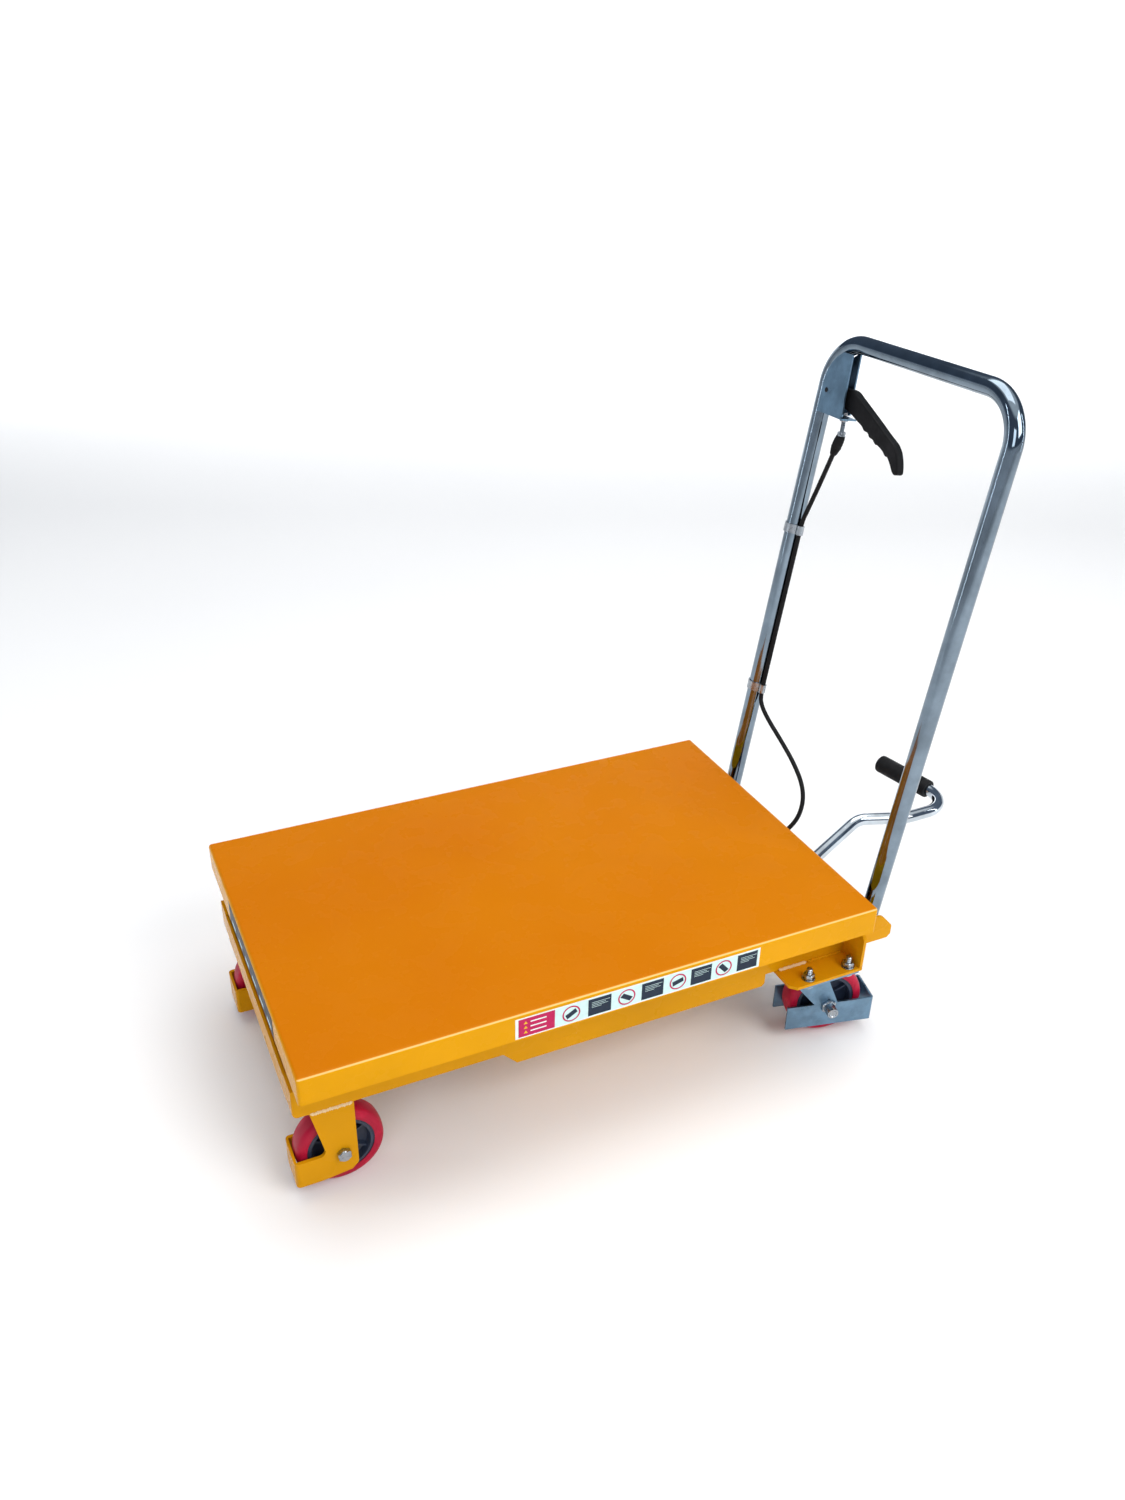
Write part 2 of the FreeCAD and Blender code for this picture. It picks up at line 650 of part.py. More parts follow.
def caster_bolts():
    """Eight bolts with nuts on top of the floor brackets."""
    top = "member_bottom"
    under = "member_bottom - bracket_sheet - caster_plate_sheet"
    pieces = []
    for word, side in SIDES:
        for along in (-1, 1):
            for sideways in (-1, 1):
                tag = "%s_%s_%s" % (word, "rear" if along > 0 else "front", "out" if sideways > 0 else "in")
                x = "caster_x + %d * caster_hole_x / 2" % along
                y = "%d * (caster_y + %d * caster_hole_y / 2)" % (side, sideways)
                grip = "bracket_sheet + caster_plate_sheet + 15"
                shank = rod("bolt_shank_" + tag, "4", grip, (x, y, under), "z")
                head = hexagon("bolt_head_" + tag, "7.4", "5", (x, y, under + " - 5"), "z")
                nut = hexagon("bolt_nut_" + tag, "7.4", "6.5", (x, y, top), "z")
                pieces.append(fuse("caster_bolt_" + tag, [shank, head, nut]))
    return group("caster_plate_bolts", pieces)


RACE = "member_bottom - bracket_sheet - caster_plate_sheet - 5.4"


def caster_fork(name):
    """Crown, two tapering legs and a three-sided guard; drawn with its swivel axis at x = 0."""
    trail, half, thick = "caster_trail", "fork_half", "fork_sheet - 1"
    crown = rod(name + "_crown", "27", "4", ("0", "0", RACE + " - 4"), "z")
    top = "%s - 4" % RACE
    leg = [("-27", top + " + 4"), ("-24", top + " - 8"), ("-12", "wheel_radius + 30"),
           ("6", "wheel_radius + 8"),
           ("caster_trail - 9", "wheel_radius - 8"), ("caster_trail + 8", "wheel_radius - 8"),
           ("caster_trail + 12", "wheel_radius + 4"), ("16", top + " + 4")]
    bore = [((trail, "wheel_radius"), "axle_radius + fit")]
    pieces = [crown]
    for word, side in SIDES:
        low, high = across(side, "fork_half - fork_sheet + 1", "fork_half + 1")
        leg_name = "%s_leg_%s" % (name, word)
        corners = ((4, 6), (5, 6))
        pieces.append(plate(leg_name, "XZ_Plane", leg, low, high, holes=bore, rounds=corners))
        low, high = across(side, "fork_half - 2.5", half)
        pieces.append(block("%s_side_%s" % (name, word), ("caster_trail - guard_back", low, "guard_bottom"),
                            ("caster_trail + guard_ahead", high, "guard_top")))
    deck = block(name + "_deck", ("-26", "-fork_half + 0.5", top), ("16", "fork_half - 0.5", top + " + 4"))
    pieces.append(deck)
    end = "caster_trail + guard_ahead"
    pieces.append(block(name + "_guard_end", (end + " - 2.5", "-fork_half", "guard_bottom"),
                        (end, half, "guard_top")))
    corner = worth(end)
    solid = bend_edges(fuse(name + "_strips", pieces), name + "_solid", corner, 3)
    bore_start = (trail, "-fork_half - 3", "wheel_radius")
    bore_y = rod(name + "_axle_bore", "axle_radius + fit", "2 * fork_half + 6", bore_start, "y")
    return cut(name, solid, [bore_y])


def turn_caster(piece, side):
    """Turn a caster piece about its swivel axis to its resting heading."""
    piece.Placement = Placement(Vector(), Rotation(Vector(0, 0, 1), HEADINGS[side]))
    return "caster_x", "caster_y * %d" % side, "0"


HEADINGS = {-1: -worth("caster_turn"), 1: worth("caster_turn") - 3}


def wheel_center(side):
    """Formulas for the caster wheel's centre at its resting heading."""
    angle = math.radians(HEADINGS[side])
    return ("caster_x + caster_trail * %.6f" % math.cos(angle),
            "caster_y * %d + caster_trail * %.6f" % (side, math.sin(angle)), "wheel_radius")


for word, side in SIDES:
    fork = caster_fork("caster_fork_shape_" + word)
    spot = turn_caster(fork, side)
    register(fork, "caster_fork_" + word, *spot)
    start = ("caster_trail", "0", "wheel_radius")
    axle = axle_bolt("caster_axle_shape_" + word, start, "fork_half + 1", True)
    turn_caster(axle, side)
    register(axle, "caster_axle_" + word, *spot)
    for kind, make in (("tyre", tyre), ("hub", hub)):
        wheel_part = make("caster_%s_shape_%s" % (kind, word))
        turn_caster(wheel_part, side)
        register(wheel_part, "caster_%s_%s" % (kind, word), *wheel_center(side))
register(caster_plates(), "caster_plates")
register(caster_bolts(), "caster_plate_bolts")

# ---------------------------------------------------------------- handle
LEAN = worth("handle_lean")
HANDLE_SLOPE = math.tan(math.radians(LEAN))


def on_handle(y, z, off=0):
    """A point of the leaning handle plane, measured from the table's centre."""
    return Vector(worth("handle_x") + HANDLE_SLOPE * (z - worth("table_top")) + off, y, z)


def handle_tube():
    """One tube bent into a U, drawn upright and leant back about its foot."""
    body = doc.addObject("PartDesign::Body", "handle_tube_body")
    half, bend = worth("handle_half"), worth("handle_bend")
    rise = (worth("handle_top") - worth("handle_foot")) / math.cos(math.radians(LEAN))
    ring = new_sketch(body, "handle_ring", "XY_Plane")
    draw_circle(ring, ("0", "-handle_half"), "handle_radius")
    draw_circle(ring, ("0", "-handle_half"), "handle_radius - handle_wall")
    path = new_sketch(body, "handle_path", "YZ_Plane")
    tall = rise - bend
    diagonal = bend * math.sqrt(0.5)
    path.addGeometry(Part.LineSegment(Vector(-half, 0, 0), Vector(-half, tall, 0)))
    left_middle = Vector(-half + bend - diagonal, tall + diagonal, 0)
    path.addGeometry(Part.Arc(Vector(-half, tall, 0), left_middle, Vector(-half + bend, rise, 0)))
    path.addGeometry(Part.LineSegment(Vector(-half + bend, rise, 0), Vector(half - bend, rise, 0)))
    right_middle = Vector(half - bend + diagonal, tall + diagonal, 0)
    path.addGeometry(Part.Arc(Vector(half - bend, rise, 0), right_middle, Vector(half, tall, 0)))
    path.addGeometry(Part.LineSegment(Vector(half, tall, 0), Vector(half, 0, 0)))
    pipe = body.newObject("PartDesign::AdditivePipe", "handle_pipe")
    pipe.Profile = ring
    pipe.Spine = path
    body.Placement = Placement(Vector(), Rotation(Vector(0, 1, 0), LEAN))
    drills = []
    for z in HANDLE_BOLTS:
        above = z - worth("handle_foot")
        start = ("%.4f" % (HANDLE_SLOPE * above), "-handle_half - 20", str(above))
        drills.append(rod("handle_drill_%d" % z, "3 + fit", "2 * handle_half + 40", start, "y"))
    return cut("handle_drilled", body, drills)


HANDLE_BOLTS = (136, 152)
foot = on_handle(0, worth("handle_foot"))
register(handle_tube(), "handle_tube", "%.4f" % foot.x, "0", "handle_foot")


def handle_bolts():
    """Four bolts through the legs into the side members, heads on the inner side."""
    pieces = []
    for word, side in SIDES:
        for z in HANDLE_BOLTS:
            x = on_handle(0, z).x
            low, high = across(side, "handle_half - handle_radius - 5", "handle_half - handle_radius")
            tag = "%s_%d" % (word, z)
            start = ("%.4f" % x, low, str(z))
            pieces.append(hexagon("handle_bolt_head_" + tag, "6", "5", start, "y"))
            low, high = across(side, "handle_half - handle_radius", WEB_INNER)
            pieces.append(rod("handle_bolt_shank_" + tag, "3", "(%s) - (%s)" % (high, low), start, "y"))
    bolts = [fuse("handle_bolt_%d" % number, pieces[2 * number:2 * number + 2]) for number in range(4)]
    return group("handle_bolts", bolts)


register(handle_bolts(), "handle_bolts")


def up_handle(z):
    """Distance along the leaning plane above its line at table height."""
    return (z - worth("table_top")) / math.cos(math.radians(LEAN))


PIN_UP = up_handle(worth("lever_pin_z"))


def lever_housing():
    """Two cheek plates that follow the tube's bend, joined by a folded tab for the cable."""
    turn_y = worth("handle_half") - worth("handle_bend")
    turn_z = up_handle(worth("handle_top")) - worth("handle_bend")
    reach = worth("handle_bend") - 7.5
    hole = [(("lever_pin_y", "%.3f" % PIN_UP), "3 + fit")]
    pieces = []
    for word, low, high, shift in (("near", "-13.05", "-11.05", 0), ("far", "11.05", "13.05", 15)):
        outline = [("157", "%.3f" % up_handle(705)), (str(104.6 + shift), "%.3f" % up_handle(708)),
                   (str(108.8 + shift), "%.3f" % up_handle(729)),
                   (str(112.5 + shift), "%.3f" % (turn_z + 43))]
        for angle in (64, 48, 32, 16, 0):
            across_bend = reach * math.cos(math.radians(angle))
            above_bend = reach * math.sin(math.radians(angle))
            outline.append(("%.3f" % (turn_y + across_bend), "%.3f" % (turn_z + above_bend)))
        pieces.append(plate("housing_" + word, "YZ_Plane", outline, low, high, holes=hole,
                            rounds=((1, 4),)))
    tab_height = up_handle(705)
    tab = block("housing_tab", ("-11.05", "106", "%.3f" % tab_height),
                ("11.05", "153", "%.3f + 2" % tab_height))
    hole = rod("housing_tab_hole", "3.2", "6", ("0", "116.2", "%.3f - 2" % tab_height), "z")
    pieces.append(cut("housing_tab_drilled", tab, [hole]))
    return fuse("lever_housing_shape", pieces)


def lean(piece):
    piece.Placement = Placement(Vector(), Rotation(Vector(0, 1, 0), LEAN))
    return piece


register(lean(lever_housing()), "lever_housing", "handle_x", "0", "table_top")
pin = rod("lever_pin_shape", "3", "28", ("-14", "lever_pin_y", "%.3f" % PIN_UP), "x")
register(lean(group("lever_pin_solid", [pin])), "lever_pin", "handle_x", "0", "table_top")


def release_lever():
    """A hand lever with a hooked tip, drawn in the handle's plane."""
    outline = [(str(y), "%.3f" % up_handle(z)) for y, z in
               ((152.8, 739), (118, 741.5), (104, 741), (90, 735.5), (50, 718), (14, 703),
                (2, 694), (-6, 683), (-9, 671), (-1, 668), (7, 675.5), (16, 683), (39, 692),
                (73, 704), (99, 713.5), (113, 717), (152.8, 727))]
    hole = [(("lever_pin_y", "%.3f" % PIN_UP), "3 + fit")]
    return plate("release_lever_shape", "YZ_Plane", outline, "-6", "6", holes=hole,
                 rounds=((0, 5), (2, 12), (8, 2), (9, 2), (11, 8), (16, 5)))


register(lean(release_lever()), "release_lever", "handle_x", "0", "table_top")


# ---------------------------------------------------------------- release cable
def cable_route():
    """The cable from its boot, down the far leg's clips, in a free loop to the pump's stop."""
    held = CLIPPED
    return [
        on_handle(121, 660), on_handle(128.3, 634), on_handle(139, 598), on_handle(146, 576),
        on_handle(held, 564), on_handle(held - 0.4, 313),
        on_handle(141.6, 301.5), on_handle(122, 291), on_handle(84.6, 277.5), on_handle(45.7, 261.8),
        on_handle(15.2, 243.5, -1), on_handle(1.5, 222, -4), on_handle(-3, 200, -13),
        on_handle(2, 181, -30), Vector(336, 12, 168), Vector(299, 20, 164), Vector(268, 22, 165),
    ]


CLIPPED = worth("handle_half") - worth("handle_radius") - worth("cable_radius") - 0.8


def bend_radii(corners):
    """0.45 of the shorter run over the tangent of half the turn, at each inner corner."""
    radii = []
    for before, corner, after in zip(corners, corners[1:], corners[2:]):
        turn = (corner - before).getAngle(after - corner)
        radii.append(0.45 * min((corner - before).Length, (after - corner).Length) / math.tan(turn / 2))
    return radii


route = cable_route()
radii = bend_radii(route)
cable_wire = rounded_path(route, radii)
cable = sweep(cable_wire, worth("cable_radius"))
expected = math.pi * worth("cable_radius") ** 2 * cable_wire.Length
print("cable length %.0f, volume ratio %.4f" % (cable_wire.Length, cable.Volume / expected))
print("cable radii", [round(radius) for radius in radii])
register(free_shape("release_cable_shape", cable), "release_cable")


def turned_along(points_and_radii):
    """A stack of turned steps between points in space, fused into one solid."""
    shape = None
    for start, end, first, second in points_and_radii:
        length = (end - start).Length
        if abs(first - second) < 0.01:
            step = Part.makeCylinder(first, length, start, end - start)
        else:
            step = Part.makeCone(first, second, length, start, end - start)
        shape = step if shape is None else shape.fuse(step)
    return shape.removeSplitter()


def cable_end():
    """The boot, the threaded adjuster through the housing's tab, and the wire that the lever pulls."""
    up = (route[0] - route[1]).normalize()
    top = route[0] + up * 26
    boot = turned_along([(route[0], route[0] + up * 12, 4.2, 6.6), (route[0] + up * 12, top, 6.6, 5.6)])
    tab = on_handle(116.2, 706)
    thread = (tab - top).normalize()
    head = tab + thread * 3
    adjuster = turned_along([(top - thread * 3, top + thread * 5, 5.2, 5.2), (top + thread * 5, head, 3, 3)])
    adjuster = max(adjuster.cut(boot).Solids, key=lambda solid: solid.Volume)
    bore = Part.makeCylinder(1.6, 16, head - thread * 15.5, thread)
    nipple = head + thread * 0.4
    wire = turned_along([(head - thread * 15, nipple, 1.3, 1.3), (nipple, nipple + thread * 3, 3, 3)])
    return boot, adjuster.cut(bore), wire


for piece_name, shape in zip(("cable_boot", "cable_adjuster", "release_wire"), cable_end()):
    register(free_shape(piece_name + "_shape", shape), piece_name)


def cable_clips():
    """Two bands that hold the cable against the far leg."""
    pieces = []
    for z in (552, 325):
        leg = on_handle(worth("handle_half"), z)
        along = Vector(HANDLE_SLOPE, 0, 1).normalize()
        held = on_handle(CLIPPED - 0.2, z)
        band = Part.makeCylinder(worth("handle_radius") + 1.6, 12, leg - along * 6, along)
        eye = Part.makeCylinder(worth("cable_radius") + 1.8, 12, held - along * 6, along)
        bore = Part.makeCylinder(worth("handle_radius") + 0.05, 14, leg - along * 7, along)
        throat = Part.makeCylinder(worth("cable_radius") + 0.3, 14, held - along * 7, along)
        pieces.append(band.fuse(eye).cut(bore).cut(throat).removeSplitter())
    return Part.makeCompound(pieces)


register(free_shape("cable_clips_shape", cable_clips()), "cable_clips")

# ---------------------------------------------------------------- foot pump
FLOOR = "member_bottom - tray_depth + tray_sheet"


def pump_body():
    """Pump block in two steps with two ears that carry the pedal's pivot."""
    main = block("pump_main", ("cylinder_x - 35", "pedal_y - 26", FLOOR),
                 ("cylinder_x + 24", "pedal_y + 17", "pump_top"))
    back = block("pump_back", ("cylinder_x + 24", "pedal_y - 26", FLOOR),
                 ("pedal_x - 20", "pedal_y + 24", "pump_top"))
    ears = []
    sides = (("near", "pedal_y - 26", "pedal_y - 20"), ("far", "pedal_y + 18", "pedal_y + 24"))
    for word, low, high in sides:
        outline = [("pedal_x - 26", "pedal_z - 20"), ("pedal_x + 12", "pedal_z - 12"),
                   ("pedal_x + 12", "pedal_z + 12"), ("pedal_x - 26", "pedal_z + 20")]
        ears.append(plate("pump_ear_" + word, "XZ_Plane", outline, low, high, rounds=((1, 10), (2, 10))))
    bore = rod("pump_bore", "7.05", "34", ("pedal_x - 48", "pedal_y", "pedal_z - 22"), "x")
    solid = cut("pump_block", fuse("pump_solid", [main, back] + ears), [bore])
    pivot = rod("pedal_pivot", "pin_radius", "50", ("pedal_x", "pedal_y - 26", "pedal_z"), "y")
    return fuse("pump_body_shape", [solid, pivot])


def oil_reservoir():
    """A rounded steel box beside the cylinder, with a filler plug and a tab for the cable's end."""
    can = block("reservoir_can", ("cylinder_x - 55", "40", FLOOR), ("pedal_x - 8", "98", "172"))
    doc.recompute()
    soft = doc.addObject("Part::Fillet", "reservoir_soft")
    soft.Base = can
    soft.Edges = [(number, 6, 6) for number in range(1, 13)]
    plug = hexagon("reservoir_plug", "9", "6", ("cylinder_x - 20", "72", "172"), "z")
    stop_end = route[-1]
    axis = (route[-2] - stop_end).normalize()
    seat = free_shape("cable_seat", Part.makeCylinder(6, 10, stop_end - axis * 10, axis))
    tab = block("cable_tab", ("pedal_x - 8", "12", "152"), ("pedal_x - 3", "60", "172"))
    return fuse("oil_reservoir_shape", [soft, plug, tab, seat])


register(pump_body(), "pump_body")
register(oil_reservoir(), "oil_reservoir")
plunger_start = ("pedal_x - 37", "pedal_y", "pedal_z - 22")
register(rod("pump_plunger_rod", "7", "28", plunger_start, "x"), "pump_plunger",
         "pedal_x - 37", "pedal_y", "pedal_z - 22")


def valve_arm():
    """The release valve's stem and crank on top of the pump block, under the cable's stop."""
    stem = rod("valve_stem", "5", "9", ("cylinder_x + 30", "pedal_y + 10", "pump_top + 0.3"), "z")
    crank = block("valve_crank", ("cylinder_x + 25", "pedal_y + 4", "pump_top + 3"),
                  ("cylinder_x + 35", "pedal_y + 82", "pump_top + 7"))
    return fuse("valve_arm_shape", [stem, crank])


register(valve_arm(), "valve_arm")

# ---------------------------------------------------------------- lifting cylinder
def cylinder_frame():
    """Angle of the lowered cylinder and its length from lug to cross tube."""
    x, z = (worth(text) for text in on_inner("ram_share"))
    along = worth("cylinder_x") - x
    up = z - worth("cylinder_z")
    return math.degrees(math.atan2(up, along)), math.hypot(along, up)


CYLINDER_TILT, CYLINDER_LENGTH = cylinder_frame()


def laid_along(piece):
    """Lay a piece drawn along -X from the cylinder's lug to the lowered cylinder's slope."""
    piece.Placement = Placement(Vector(), Rotation(Vector(0, 1, 0), CYLINDER_TILT))
    return piece


def cylinder_barrel():
    """Barrel with a base eye and a gland, bored for the ram."""
    barrel = rod("barrel_tube", "barrel_radius - 1", "barrel_length - 20", ("-barrel_length", "0", "0"), "x")
    gland = rod("barrel_gland", "barrel_radius", "16", ("-barrel_length", "0", "0"), "x")
    eye = rod("barrel_eye", "14", "2 * barrel_radius", ("0", "-barrel_radius", "0"), "y")
    neck = block("barrel_neck", ("-30", "-12", "-12"), ("0", "12", "12"))
    mouth = ("-barrel_length - 1", "0", "0")
    bore = rod("barrel_bore", "ram_radius + fit", "barrel_length - 33", mouth, "x")
    side = ("0", "-barrel_radius - 1", "0")
    pivot = rod("barrel_pivot_bore", PIN_BORE, "2 * barrel_radius + 2", side, "y")
    return cut("barrel_shape", fuse("barrel_solid", [barrel, gland, eye, neck]), [bore, pivot])


def ram():
    """Ram rod with a shallow saddle that pushes the cross tube of the inner arms."""
    tip = "%.4f - cross_radius - saddle_gap" % CYLINDER_LENGTH
    shaft = rod("ram_rod", "ram_radius", "%s - 38" % tip, ("-(%s)" % tip, "0", "0"), "x")
    pad = block("ram_pad", ("-(%s)" % tip, "-20", "-16"), ("8 - (%s)" % tip, "20", "10"))
    return fuse("ram_shape", [shaft, pad])


register(laid_along(cylinder_barrel()), "cylinder_barrel", "cylinder_x", "0", "cylinder_z")
register(laid_along(ram()), "ram", "cylinder_x", "0", "cylinder_z")
register(rod("cylinder_pin_rod", "pin_radius", "2 * barrel_radius + 20",
             ("cylinder_x", "-barrel_radius - 10", "cylinder_z"), "y"),
         "cylinder_pin", "cylinder_x", "-barrel_radius - 10", "cylinder_z")


# ---------------------------------------------------------------- pedal
def pedal_route():
    """The pedal tube: up behind the table, level past the handle, round into its foot bar."""
    y, top = worth("pedal_y"), worth("table_top")
    return [Vector(304, y, 116), Vector(445, y, top), Vector(505, y - 22, top),
            Vector(590, y - 21, top), Vector(566, 50, top)]


PEDAL_RADII = (30, 60, 40)
pedal_corners = pedal_route()
pedal_wire = rounded_path(pedal_corners, PEDAL_RADII)
pedal_tube = free_shape("pedal_tube", sweep(pedal_wire, worth("pedal_radius"), worth("pedal_radius") - 2))


def pedal_sleeve():
    """A rubber sleeve over the foot bar, closed at its end."""
    bar_start, bar_end = pedal_corners[-2], pedal_corners[-1]
    along = (bar_end - bar_start).normalize()
    start = bar_start + along * 46
    length = (bar_end - start).Length + 5
    outer = Part.makeCylinder(worth("sleeve_radius"), length, start, along)
    outer = outer.makeFillet(3, outer.Edges)
    bore = Part.makeCylinder(worth("pedal_radius") + 0.02, length - 5, start, along)
    return outer.cut(bore)


register(free_shape("pedal_sleeve_shape", pedal_sleeve()), "pedal_sleeve")


def pedal():
    """The pedal tube welded to its lever, whose horn below the pivot pushes the plunger."""
    turns = ((-4.5, -30), (5, -30), (12, -12), (44, -34), (62, -14), (56, -4), (14, 12), (-10, 12), (-12, 0))
    outline = [("pedal_x + (%s)" % x, "pedal_z + (%s)" % z) for x, z in turns]
    lever = plate("pedal_lever", "XZ_Plane", outline, "pedal_y - 17", "pedal_y + 17",
                  holes=[(("pedal_x", "pedal_z"), PIN_BORE)], rounds=((6, 8), (7, 8)))
    return fuse("pedal_shape", [lever, pedal_tube])


register(pedal(), "pedal")

# ---------------------------------------------------------------- check and write
doc.recompute()
for thing in doc.Objects:
    if "Invalid" in thing.State or "Error" in thing.State:
        raise RuntimeError("failed: %s %s" % (thing.Name, thing.State))
for piece in parts:
    shape = piece.Shape
    if shape.isNull() or not shape.isValid() or not shape.Solids:
        raise RuntimeError("bad shape: " + piece.Label)
    shape.exportStep("parts/%s.step" % piece.Label)
box = parts[0].Shape.BoundBox
for piece in parts[1:]:
    box.add(piece.Shape.BoundBox)
print("%d nodes, box %s" % (len(parts), box))
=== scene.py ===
"""Looks of the scissor lift table cart, in metres, in the same frame as the CAD model."""
import bpy
import bmesh
import math
from mathutils import Matrix, Vector


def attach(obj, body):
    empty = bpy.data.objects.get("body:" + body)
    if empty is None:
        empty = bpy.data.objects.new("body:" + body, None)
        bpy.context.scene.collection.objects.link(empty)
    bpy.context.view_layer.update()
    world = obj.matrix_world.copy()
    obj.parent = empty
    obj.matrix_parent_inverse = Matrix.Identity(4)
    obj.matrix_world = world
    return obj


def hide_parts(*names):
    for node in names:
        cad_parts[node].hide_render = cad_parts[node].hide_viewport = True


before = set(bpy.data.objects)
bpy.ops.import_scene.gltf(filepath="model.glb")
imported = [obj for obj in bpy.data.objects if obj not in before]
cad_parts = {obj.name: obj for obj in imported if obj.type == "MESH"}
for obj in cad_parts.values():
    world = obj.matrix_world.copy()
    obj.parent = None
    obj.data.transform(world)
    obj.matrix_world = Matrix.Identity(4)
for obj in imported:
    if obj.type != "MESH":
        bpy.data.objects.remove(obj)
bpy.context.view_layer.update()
scene = bpy.context.scene
scene.view_settings.view_transform = "Standard"

SIDES = (("left", 1), ("right", -1))
TABLE_X = -119.5  # the table's middle, seen from the frame's origin
LEAN = math.radians(8.27)
HANDLE_X, HANDLE_Z = 399.8, 220  # a point of the leaning handle's centre line


def at(x, y, z):
    """A point given in millimetres from the table's middle, in the model's frame."""
    return Vector(((x + TABLE_X) / 1000, y / 1000, z / 1000))


def on_handle(y, z, off=0.0):
    """A point of the leaning plane of the handle's centre line, or off it along X."""
    return at(HANDLE_X + math.tan(LEAN) * (z - HANDLE_Z) + off, y, z)


# ---------------------------------------------------------------- camera
YAW, PITCH, ROLL = math.radians(25.16), math.radians(29.63), math.radians(1.07)
CAMERA_PLACE = at(-493.4, -1128.8, 1097.3)
forward = Vector((math.sin(YAW) * math.cos(PITCH), math.cos(YAW) * math.cos(PITCH), -math.sin(PITCH)))
level = Vector((math.cos(YAW), -math.sin(YAW), 0))
upward = level.cross(forward)
right = level * math.cos(ROLL) + upward * math.sin(ROLL)
top = upward * math.cos(ROLL) - level * math.sin(ROLL)
camera_data = bpy.data.cameras.new("camera")
camera = bpy.data.objects.new("camera", camera_data)
scene.collection.objects.link(camera)
turn = Matrix((right, top, -forward)).transposed()
camera.matrix_world = Matrix.Translation(CAMERA_PLACE) @ turn.to_4x4()
camera_data.sensor_fit = "HORIZONTAL"
camera_data.sensor_width = 36
camera_data.lens = 39.3024
camera_data.clip_start = 0.01
scene.camera = camera


# ---------------------------------------------------------------- materials
class Shader:
    """A material's node tree with short calls for the nodes used here."""

    def __init__(self, name):
        self.material = bpy.data.materials.new(name)
        self.material.use_nodes = True
        self.tree = self.material.node_tree
        self.main = self.tree.nodes["Principled BSDF"]
        self.place = self.tree.nodes.new("ShaderNodeTexCoord").outputs["Object"]

    def node(self, kind, **settings):
        made = self.tree.nodes.new("ShaderNode" + kind)
        for key, value in settings.items():
            setattr(made, key, value)
        return made

    def link(self, source, target):
        self.tree.links.new(source, target)

    def noise(self, scale, detail=3.0, roughness=0.5, stretch=None):
        noise = self.node("TexNoise")
        noise.inputs["Scale"].default_value = scale
        noise.inputs["Detail"].default_value = detail
        noise.inputs["Roughness"].default_value = roughness
        source = self.place
        if stretch:
            mapping = self.node("Mapping")
            mapping.inputs["Scale"].default_value = stretch
            self.link(source, mapping.inputs["Vector"])
            source = mapping.outputs["Vector"]
        self.link(source, noise.inputs["Vector"])
        return noise.outputs["Fac"]

    def ramp(self, value, low, high, start=0.3, end=0.7):
        """A grey or colour between low and high as value goes from start to end."""
        ramp = self.node("ValToRGB")
        for element, spot, tone in zip(ramp.color_ramp.elements, (start, end), (low, high)):
            element.position = spot
            element.color = (*tone, 1) if isinstance(tone, tuple) else (tone, tone, tone, 1)
        self.link(value, ramp.inputs["Fac"])
        return ramp.outputs["Color"]

    def mix(self, factor, first, second):
        mix = self.node("Mix", data_type="RGBA")
        for number, value in ((0, factor), (6, first), (7, second)):
            if isinstance(value, (int, float)):
                mix.inputs[number].default_value = value
            elif isinstance(value, tuple):
                mix.inputs[number].default_value = (*value, 1)
            else:
                self.link(value, mix.inputs[number])
        return mix.outputs[2]

    def bump(self, heights, distance=0.001):
        """Stack bumps: heights lists (value, strength)."""
        normal = None
        for value, strength in heights:
            bump = self.node("Bump")
            bump.inputs["Strength"].default_value = strength
            bump.inputs["Distance"].default_value = distance
            self.link(value, bump.inputs["Height"])
            if normal:
                self.link(normal, bump.inputs["Normal"])
            normal = bump.outputs["Normal"]
        self.link(normal, self.main.inputs["Normal"])

    def set(self, **values):
        for key, value in values.items():
            socket = self.main.inputs[key.replace("_", " ")]
            if isinstance(value, bpy.types.NodeSocket):
                self.link(value, socket)
            else:
                socket.default_value = (*value, 1) if isinstance(value, tuple) else value


# colour of the highlight painted along the long sides' folds
FOLD_PAINTED_HIGHLIGHT = (1.0, 0.66, 0.27)


def paint_upper_shade_and_fold_highlight(s, base, upper_shade):
    """Paint shade on the faces that look up, and paint a highlight as a bright line along the long sides'
    folds.
    """
    geometry = s.node("NewGeometry")
    apart = s.node("SeparateXYZ")
    s.link(geometry.outputs["Normal"], apart.inputs["Vector"])
    # painted shade: faces that look up take the darker second tone, varied by a random cloudy warmth
    facing = s.ramp(apart.outputs["Z"], 0.0, 1.0, 0.45, 0.95)
    warmer = tuple(channel * lift for channel, lift in zip(upper_shade, (1.08, 1.25, 1.6)))
    cloudy = s.mix(s.ramp(s.noise(2.2, 2), 0.0, 1.0, 0.35, 0.68), upper_shade, warmer)
    base = s.mix(facing, base, cloudy)
    # painted highlight: a bright band where the normal leans between up and out on the long sides
    fold = s.node("ValToRGB")
    spots = ((0.40, 0.0), (0.55, 0.8), (0.72, 0.8), (0.88, 0.0))
    while len(fold.color_ramp.elements) < len(spots):
        fold.color_ramp.elements.new(0.5)
    for element, (spot, tone) in zip(fold.color_ramp.elements, spots):
        element.position = spot
        element.color = (tone, tone, tone, 1)
    s.link(apart.outputs["Z"], fold.inputs["Fac"])
    long_side = s.node("Math", operation="ABSOLUTE")
    s.link(apart.outputs["Y"], long_side.inputs[0])
    fold_highlight_mask = s.node("Math", operation="MULTIPLY")
    s.link(fold.outputs["Color"], fold_highlight_mask.inputs[0])
    s.link(s.ramp(long_side.outputs["Value"], 0.0, 1.0, 0.35, 0.6), fold_highlight_mask.inputs[1])
    return s.mix(fold_highlight_mask.outputs["Value"], base, FOLD_PAINTED_HIGHLIGHT)


